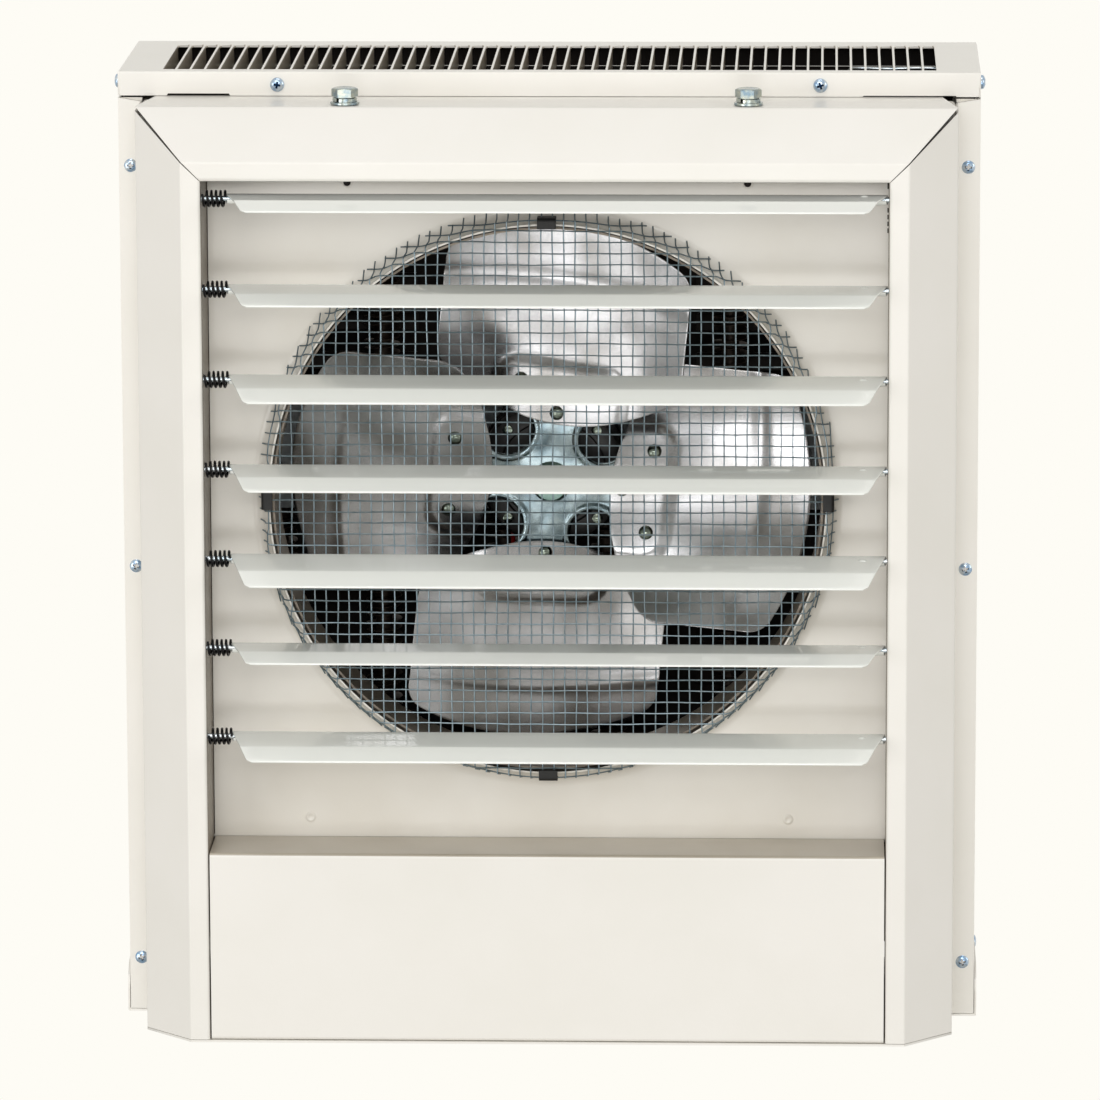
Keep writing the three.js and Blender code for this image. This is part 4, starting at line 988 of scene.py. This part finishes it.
def panHead():
    radius, height, floor = screw["radius"], screw["height"], screw["height"] - screw["recessDepth"]
    profile = [(0, height)]
    for k in range(1, 8):
        angle = math.radians(90 * k / 7)
        profile.append((radius * math.sin(angle) ** 0.9, height * (0.35 + 0.65 * math.cos(angle))))
    head = asObject(lathe(profile + [(radius, 0), (radius * 0.9, -0.6), (0, -0.6)], 40), "head")
    bars = []
    for turn in (0, 90):
        bar = bmesh.new()
        bmesh.ops.create_cube(bar, size=1)
        for vert in bar.verts:
            upper = vert.co.z > 0
            taper = 1 if upper else screw["recessTaper"]
            vert.co = (vert.co.x * screw["recessLong"] * taper, vert.co.y * screw["recessWide"] * (0.5 + taper / 2),
                       height + 1 if upper else floor)
        bar.transform(rotation(turn, "Z"))
        bars.append(asObject(bar, "bar"))
        head.modifiers.new("cut", "BOOLEAN").object = bars[-1]
    bpy.context.view_layer.update()
    cutMesh = bpy.data.meshes.new_from_object(head.evaluated_get(bpy.context.evaluated_depsgraph_get()))
    bm = bmesh.new()
    bm.from_mesh(cutMesh)
    for mesh in (cutMesh, head.data, *(bar.data for bar in bars)):
        bpy.data.meshes.remove(mesh)
    for face in bm.faces:
        spot = face.calc_center_median()
        across, along = sorted((abs(spot.x), abs(spot.y)))
        within = across < screw["recessWide"] * 0.56 and math.hypot(along, across) < screw["recessLong"] / 2
        sunk = 0 < spot.z < height * 0.93 and (face.normal.z < 0.6 or spot.z < floor + 0.2)
        # the recess faces take the blue passivate, darkened as painted shade
        face.material_index = int(within and sunk)
    return bm


def hexPrism(acrossFlats, height, bothEnds=False, bore=0):  # its corners chamfered at 30 degrees
    half, flat = acrossFlats / 2, acrossFlats / 2 * 0.96

    def reach(angle):
        return half / math.cos((angle + 2 * math.pi) % (math.pi / 3) - math.pi / 6)

    def drop(angle):
        return max(0, reach(angle) - flat) * math.tan(math.radians(30))

    def moved(verts, radius, level):
        for vert in verts:
            angle = math.atan2(vert.co.y, vert.co.x)
            vert.co = (math.cos(angle) * radius(angle), math.sin(angle) * radius(angle), level(angle))

    bm = bmesh.new()
    ring = bmesh.ops.create_circle(bm, segments=48, radius=1)["verts"]
    lower = list({e for v in ring for e in v.link_edges})
    moved(ring, reach, drop if bothEnds else lambda angle: 0)
    verts, upper = extruded(bm, lower)
    moved(verts, reach, lambda angle: height - drop(angle))
    ends = []
    for rim, level in ((upper, height), (lower, 0)):
        for radius in (flat * 0.98, bore) if bore else (flat * 0.98,):
            verts, rim = extruded(bm, rim)
            moved(verts, lambda angle: radius, lambda angle: level)
        ends.append(rim)
    if bore:
        bmesh.ops.bridge_loops(bm, edges=ends[0] + ends[1])
    else:
        for rim in ends:
            bmesh.ops.edgeloop_fill(bm, edges=rim)
    bmesh.ops.recalc_face_normals(bm, faces=bm.faces)
    return bm


panScrew = panHead()
crossed = [zincFastener, recessPassivateAndShade]


def screwAt(x, y, z, turn, size=1):  # looking to the front
    return copyOf(panScrew, at(x, y, z) @ frontwards @ Matrix.Rotation(turn, 4, "Z") @ Matrix.Scale(size, 4))


caseLow = localBox("case_side_left")[0]
stripScrews, lidScrews = [], []
for sign in (-1, 1):
    for z in screw["stripHeights"]:
        stripScrews.append(screwAt(-sign * (caseLow.x + screw["stripInset"]), caseLow.y, z,
                                   dice.uniform(-screw["sway"], screw["sway"])))
addPiece(combined(stripScrews), "stripScrews", "cabinet", crossed)
for sign in (-1, 1):
    lidScrews.append(screwAt(sign * screw["lidX"], lidLow.y, screw["lidZ"],
                             dice.uniform(-screw["sway"], screw["sway"])))
    spot = at(sign * lidHigh.x, lidLow.y + screw["lidSideInset"], screw["lidSideZ"]) @ rotation(90 * sign, "Y")
    lidScrews.append(copyOf(panScrew, spot @ Matrix.Rotation(dice.uniform(0, 3), 4, "Z")))
addPiece(combined(lidScrews), "lidScrews", "cabinet", crossed)
# The screw holes as thin dark discs of painted shadow, each with a raised rim
hole = lathe([(0, 0.06), (2.1, 0.06), (2.1, 0.02), (0, 0.02)], 24)
burr = lathe([(2.0, 0.02), (2.2, 0.3), (2.7, 0.35), (3.3, 0.0)], 24)
addPiece(onBaffle(hole, baffle["screwX"], baffle["screwZ"]), "baffleHoleShadows", "cabinet", paintedShade)
addPiece(onBaffle(burr, baffle["screwX"], baffle["screwZ"]), "baffleHoleRims", "cabinet", baffleShadedEnamel)

# Hanger bolts with their washers and nuts, and the door's pivots
hanger = {"acrossFlats": 12.7, "head": 5.3, "collar": 0.5, "shank": 3.97, "thread": 1.1, "plain": 8,
          "washerOuter": 8, "washerInner": 4.5, "washer": 1.5, "lockOuter": 6.75, "lockInner": 4.4, "lock": 1.9,
          "lockSteps": 44, "lockTurn": 346, "lockFrom": -115, "lockRise": 0.4}
for side in ("left", "right"):
    boltLow, boltHigh = localBox(f"hanger_bolt_{side}")
    washerLow = localBox(f"hanger_washer_{side}")[0]
    nutLow, nutHigh = localBox(f"hanger_nut_{side}")
    middle = (boltLow + boltHigh) / 2
    upright = cabinetPlace @ at(middle.x, middle.y, 0)
    headLow, radius = boltHigh.z - hanger["head"], hanger["shank"]
    collarTop = headLow + hanger["collar"]
    head = hexPrism(hanger["acrossFlats"], hanger["head"] - hanger["collar"])
    head.transform(at(0, 0, collarTop) @ Matrix.Rotation(dice.uniform(-0.12, 0.12), 4, "Z"))
    collar = lathe([(radius, headLow), (6.0, headLow), (6.1, collarTop), (radius, collarTop)], 40)
    shank = [(0, headLow + 0.2), (radius, headLow + 0.2)]
    z = headLow - hanger["plain"]
    while z > boltLow.z + 1.2:  # the thread, as ridges
        shank += [(radius, z), (radius - hanger["thread"] / 2, z - hanger["thread"] / 2)]
        z -= hanger["thread"]
    shank += [(radius - 0.7, boltLow.z), (0, boltLow.z)]
    addPiece(combined([head, collar, lathe(shank, 28)]), f"hangerBolt_{side}", "cabinet", hangerZinc,
             [f"hanger_bolt_{side}"], upright)
    inner, outer, low, high = hanger["washerInner"], hanger["washerOuter"], washerLow.z, washerLow.z + hanger["washer"]
    flat = lathe([(inner, low), (outer - 0.25, low), (outer, low + 0.3), (outer, high - 0.3), (outer - 0.3, high),
                  (inner, high), (inner, low)], 48)
    inner, outer, low, high = hanger["lockInner"], hanger["lockOuter"], high + 0.05, high + 0.05 + hanger["lock"]
    lock = flatSheet([(inner, 0, low), (outer, 0, low), (outer, 0, high), (inner, 0, high)])
    spun(lock, lock.faces[:], math.radians(hanger["lockTurn"]), hanger["lockSteps"],
         hanger["lockRise"] / hanger["lockSteps"])
    bmesh.ops.recalc_face_normals(lock, faces=lock.faces)
    lock.transform(rotation(hanger["lockFrom"], "Z"))
    addPiece(combined([flat, lock]), f"hangerWasher_{side}", "cabinet", hangerZinc,
             [f"hanger_washer_{side}"], upright)
    nut = hexPrism(hanger["acrossFlats"], nutHigh.z - nutLow.z, True, radius + 0.15)
    addPiece(nut, f"hangerNut_{side}", "cabinet", hangerZinc, [f"hanger_nut_{side}"],
             upright @ at(0, 0, nutLow.z))
    pivotLow, pivotHigh = localBox(f"door_pivot_{side}")
    half = (pivotHigh.x - pivotLow.x) / 2
    pivot = lathe([(0, half), (2.2, half - 0.15), (3.6, half - 0.7), (4.5, half - 2), (4.4, half - 2.2),
                   (2.4, half - 2.2), (2.4, 0.6 - half), (2.0, -half), (0, -half)], 32)
    outwards = rotation(90 if side == "right" else -90, "Y")
    addPiece(pivot, f"doorPivot_{side}", "cabinet", zincFastener, [f"door_pivot_{side}"],
             cabinetPlace @ at(*(pivotLow + pivotHigh) / 2) @ outwards)
print("fasteners made")

# Motor: two end bells with cooling slots round a rolled shell, long bolts and its leads
motor = {"radius": 42, "shell": 40.6, "bell": 14, "boss": 12, "bossHeight": 4, "screwSpan": 50.5, "bolt": 5.5,
         "vents": 10, "ventSize": (2.1, 15, 4), "ventInset": 8.5}
motorLow, motorHigh = localBox("motor_body")
motorPlace = cabinetPlace @ at(fanX, motorLow.y, fanZ) @ backwards
length = motorHigh.y - motorLow.y
face, radius, shell, boss = motor["bossHeight"], motor["radius"], motor["shell"], motor["boss"]
bellBack, bellFront = face + motor["bell"], length - motor["bell"]
motorBody = lathe([
    (4.4, 0.4), (5, 0), (boss - 1, 0), (boss, 1), (boss, face), (17, face), (18, face + 0.8), (30, face + 0.8),
    (31, face), (37, face), (40.4, face + 1.3), (radius, face + 4.5), (radius, bellBack - 0.6),
    (radius - 0.6, bellBack),
    (shell, bellBack + 0.2), (shell, bellFront - 0.2), (radius - 0.6, bellFront), (radius, bellFront + 0.6),
    (radius, length - 5), (40.2, length - 1.4), (36.5, length), (14, length), (13, length - 1.5), (0, length - 1.5),
], 80)
addPiece(motorBody, "motorBody", "cabinet", motorEnamel, ["motor_body"], motorPlace)
boltHead = hexPrism(motor["bolt"], 3)
half = motor["screwSpan"] / 2
motorBolts = [copyOf(boltHead, at(fanX + i * half, motorLow.y + face + 0.6, fanZ + j * half) @ frontwards)
              for i in (-1, 1) for j in (-1, 1)]
addPiece(combined(motorBolts), "motorBolts", "cabinet", rivetZinc)
boltHead.free()
# The cooling slots as dark blocks of painted shade on the shell
vents = []
for k in range(motor["vents"]):
    around = Matrix.Rotation(2 * math.pi * (k + 0.5) / motor["vents"], 4, "Z")
    for depth in (face + motor["ventInset"], length - motor["ventInset"]):
        vents.append(cuboid(around @ at(radius - 0.9, 0, depth), motor["ventSize"], 0.9))
addPiece(combined(vents), "motorVentShadows", "cabinet", paintedShade, (), motorPlace)

leadPaths = {
    "redLead": (redLead, [(-24, 150, 268), (-23, 134, 250), (-18, 122, 215), (-13, 119, 165), (-20, 124, 130),
                          (-34, 128, 109)]),
    "amberLead": (amberLead, [(-18, 152, 264), (-16, 136, 246), (-10, 123, 205), (-8, 121, 160), (-14, 127, 128),
                              (-28, 131, 109)]),
}
for name, (material, points) in leadPaths.items():
    addPiece(tubes([eased(points)], 1.25, 2), name, "cabinet", material)
print("motor made")

# Heating elements: a steel hairpin with a wound fin on each leg
element = {"tube": 5, "legSpacing": 60, "finRadius": 10.4, "finPitch": 4.6, "finSheet": 0.45, "steps": 14,
           "finFrom": 38, "finBelowCrown": 14}
leg = element["legSpacing"] / 2
for side in ("left", "center", "right"):
    low, high = localBox(f"heating_element_{side}")
    middle = (low + high) / 2
    crown = high.z - element["tube"] - leg
    bend = [(-leg * math.cos(math.pi * k / 20), 0, crown + leg * math.sin(math.pi * k / 20)) for k in range(21)]
    parts = [tubes([[(-leg, 0, low.z)] + bend + [(leg, 0, low.z)]], element["tube"], 4)]
    finStart = low.z + element["finFrom"]
    turns = round((crown - element["finBelowCrown"] - finStart) / element["finPitch"])
    for x in (-leg, leg):
        fin = bmesh.new()
        ends = [fin.verts.new((element["tube"] - 0.4, 0, 0)), fin.verts.new((element["finRadius"], 0, 0))]
        spun(fin, ends + [fin.edges.new(ends)], 2 * math.pi * turns, turns * element["steps"],
             element["finPitch"] / element["steps"])
        bmesh.ops.solidify(fin, geom=fin.faces[:], thickness=element["finSheet"])
        fin.transform(at(x, 0, finStart))
        parts.append(fin)
    addPiece(combined(parts), f"heatingElement_{side}", "cabinet", oxidisedSteel,
             [f"heating_element_{side}"], cabinetPlace @ at(middle.x, middle.y, 0), edgeAngle=50)
print("elements wound")

# Terminal block: a base with barriers between its poles, and two screws to a pole
terminal = {"poles": 6, "barrier": 1.6, "barrierHeight": 0.92, "baseDepth": 0.62, "screwInset": 6,
            "screwSize": 0.8, "edge": 0.4}
blockLow, blockHigh = localBox("terminal_block")
centre, size = (blockLow + blockHigh) / 2, blockHigh - blockLow
firstBarrier, pitch = blockLow.x + terminal["barrier"] / 2, (size.x - terminal["barrier"]) / terminal["poles"]
baseFront = blockHigh.y - size.y * terminal["baseDepth"]
block = [cuboid(at(centre.x, (blockHigh.y + baseFront) / 2, centre.z),
                (size.x, size.y * terminal["baseDepth"], size.z), terminal["edge"])]
for k in range(terminal["poles"] + 1):
    block.append(cuboid(at(firstBarrier + k * pitch, centre.y, centre.z),
                        (terminal["barrier"], size.y, size.z * terminal["barrierHeight"]), terminal["edge"]))
studs = []
for k in range(terminal["poles"]):
    for z in (blockLow.z + terminal["screwInset"], blockHigh.z - terminal["screwInset"]):
        studs.append(screwAt(firstBarrier + (k + 0.5) * pitch, baseFront, z, dice.uniform(0, 3), terminal["screwSize"]))
addPiece(combined(block), "terminalBlock", "cabinet", phenolic, ["terminal_block"])
addPiece(combined(studs), "terminalScrews", "cabinet", crossed)

# Contactor: three tiers, as shares of its width, depth and height
contactor = {"tiers": ((1, 0.5, 1), (0.94, 0.84, 0.66), (0.5, 1, 0.4)), "edge": 1, "screwX": 0.3, "screwZ": 0.42,
             "screwSize": 0.75}
contactorLow, contactorHigh = localBox("contactor")
centre, size = (contactorLow + contactorHigh) / 2, contactorHigh - contactorLow
tiers = [cuboid(at(centre.x, contactorHigh.y - size.y * deep / 2, centre.z),
                (size.x * wide, size.y * deep, size.z * high), contactor["edge"], 3)
         for wide, deep, high in contactor["tiers"]]
reachX, reachZ = size.x * contactor["screwX"], size.z * contactor["screwZ"]
contactorScrews = [screwAt(centre.x + i * reachX, centre.y, centre.z + j * reachZ, dice.uniform(0, 3),
                           contactor["screwSize"]) for i in (-1, 0, 1) for j in (-1, 1)]
addPiece(combined(tiers), "contactorBody", "cabinet", phenolic, ["contactor"])
addPiece(combined(contactorScrews), "contactorScrews", "cabinet", crossed)
panScrew.free()

# Thermal cutout on the baffle, and its capillary over the top
cutoutLow, cutoutHigh = localBox("thermal_cutout")
centre = (cutoutLow + cutoutHigh) / 2
deep = cutoutHigh.y - cutoutLow.y
body = lathe([(0, 0), (12.6, 0), (13, 0.4), (13, 1.1), (12.6, 1.5), (8.4, 1.5), (8, 1.9), (8, deep - 0.6),
              (7.4, deep), (0, deep)], 40)
addPiece(body, "thermalCutout", "cabinet", phenolic, ["thermal_cutout"],
         cabinetPlace @ at(centre.x, cutoutLow.y, centre.z) @ backwards)
capillary = [(centre.x, cutoutHigh.y, centre.z), (centre.x, 64, centre.z + 4), (centre.x - 4, 90, 505),
             (centre.x - 8, 140, 524), (168, 164, 528.6), (190, 165, 528.8), (219, 165, 528.6), (228, 163, 520),
             (231, 160, 495)]
addPiece(tubes([eased(capillary)], 0.7, 2), "capillaryTube", "cabinet", zincSteel)

# One metal on every solid of the frame itself
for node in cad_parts.values():
    node.data.materials.clear()
    node.data.materials.append(zincSteel)
print("switchgear made")

# Light: softboxes by place, target, size and watts
softboxes = {
    "upperSoftbox": ((-0.4, -3.2, 1.25), (0, 0, -0.25), (1.8, 1.3), 23),
    "leftSoftbox": ((-2.4, -2.8, -0.5), (0, 0, -0.25), (1.6, 1.8), 24),
    "rightSoftbox": ((2.9, -1.3, 0.6), (0, 0, -0.25), (1.2, 1.4), 13),
    "lowFill": ((0.4, -3.6, -0.75), (0, 0, -0.35), (2.0, 0.9), 11.5),
    "cameraFill": ((0.1, -3.9, 0.8), (0, 0, -0.25), (1.4, 0.5), 12),
    "topSoftbox": ((0, -0.6, 2.0), (0, -0.02, 0), (1.4, 0.5), 7.5),
}
for name, (spot, target, size, power) in softboxes.items():
    data = bpy.data.lights.new(name, "AREA")
    data.shape = "RECTANGLE"
    data.size, data.size_y = size
    data.energy = power
    lamp = bpy.data.objects.new(name, data)
    aim = (Vector(target) - Vector(spot)).to_track_quat("-Z", "Y")
    lamp.matrix_world = at(*spot) @ aim.to_matrix().to_4x4()
    bpy.context.scene.collection.objects.link(lamp)

world = bpy.data.worlds.new("studio")
world.use_nodes = True
bpy.context.scene.world = world
tree = world.node_tree
tree.nodes.clear()
rays = addNode(tree, "ShaderNodeLightPath", {}).outputs
seen = rays["Is Camera Ray"]
for ray in ("Is Glossy Ray", "Is Transmission Ray"):
    seen = addNode(tree, "ShaderNodeMath", {0: seen, 1: rays[ray]}, operation="MAXIMUM").outputs[0]
fill = addNode(tree, "ShaderNodeBackground", {"Color": linear("#fffdf8"), "Strength": 0.41})
backdrop = addNode(tree, "ShaderNodeBackground", {"Color": linear("#fefcf5"), "Strength": 1.0})
mix = addNode(tree, "ShaderNodeMixShader", {0: seen, 1: fill.outputs[0], 2: backdrop.outputs[0]})
addNode(tree, "ShaderNodeOutputWorld", {"Surface": mix.outputs[0]})

# A plain floor, well below the part because it hangs
ground = {"half": 2.4, "below": 1.9, "forward": 1}
bm = bmesh.new()
bmesh.ops.create_grid(bm, x_segments=1, y_segments=1, size=ground["half"],
                      matrix=at(0, -ground["forward"], cadBounds[0].z - ground["below"]))
floor = asObject(bm, "floor")
floor.data.materials.append(newMaterial("paleFloor", "#efece4", 0.8)[0])
print("studio lit")
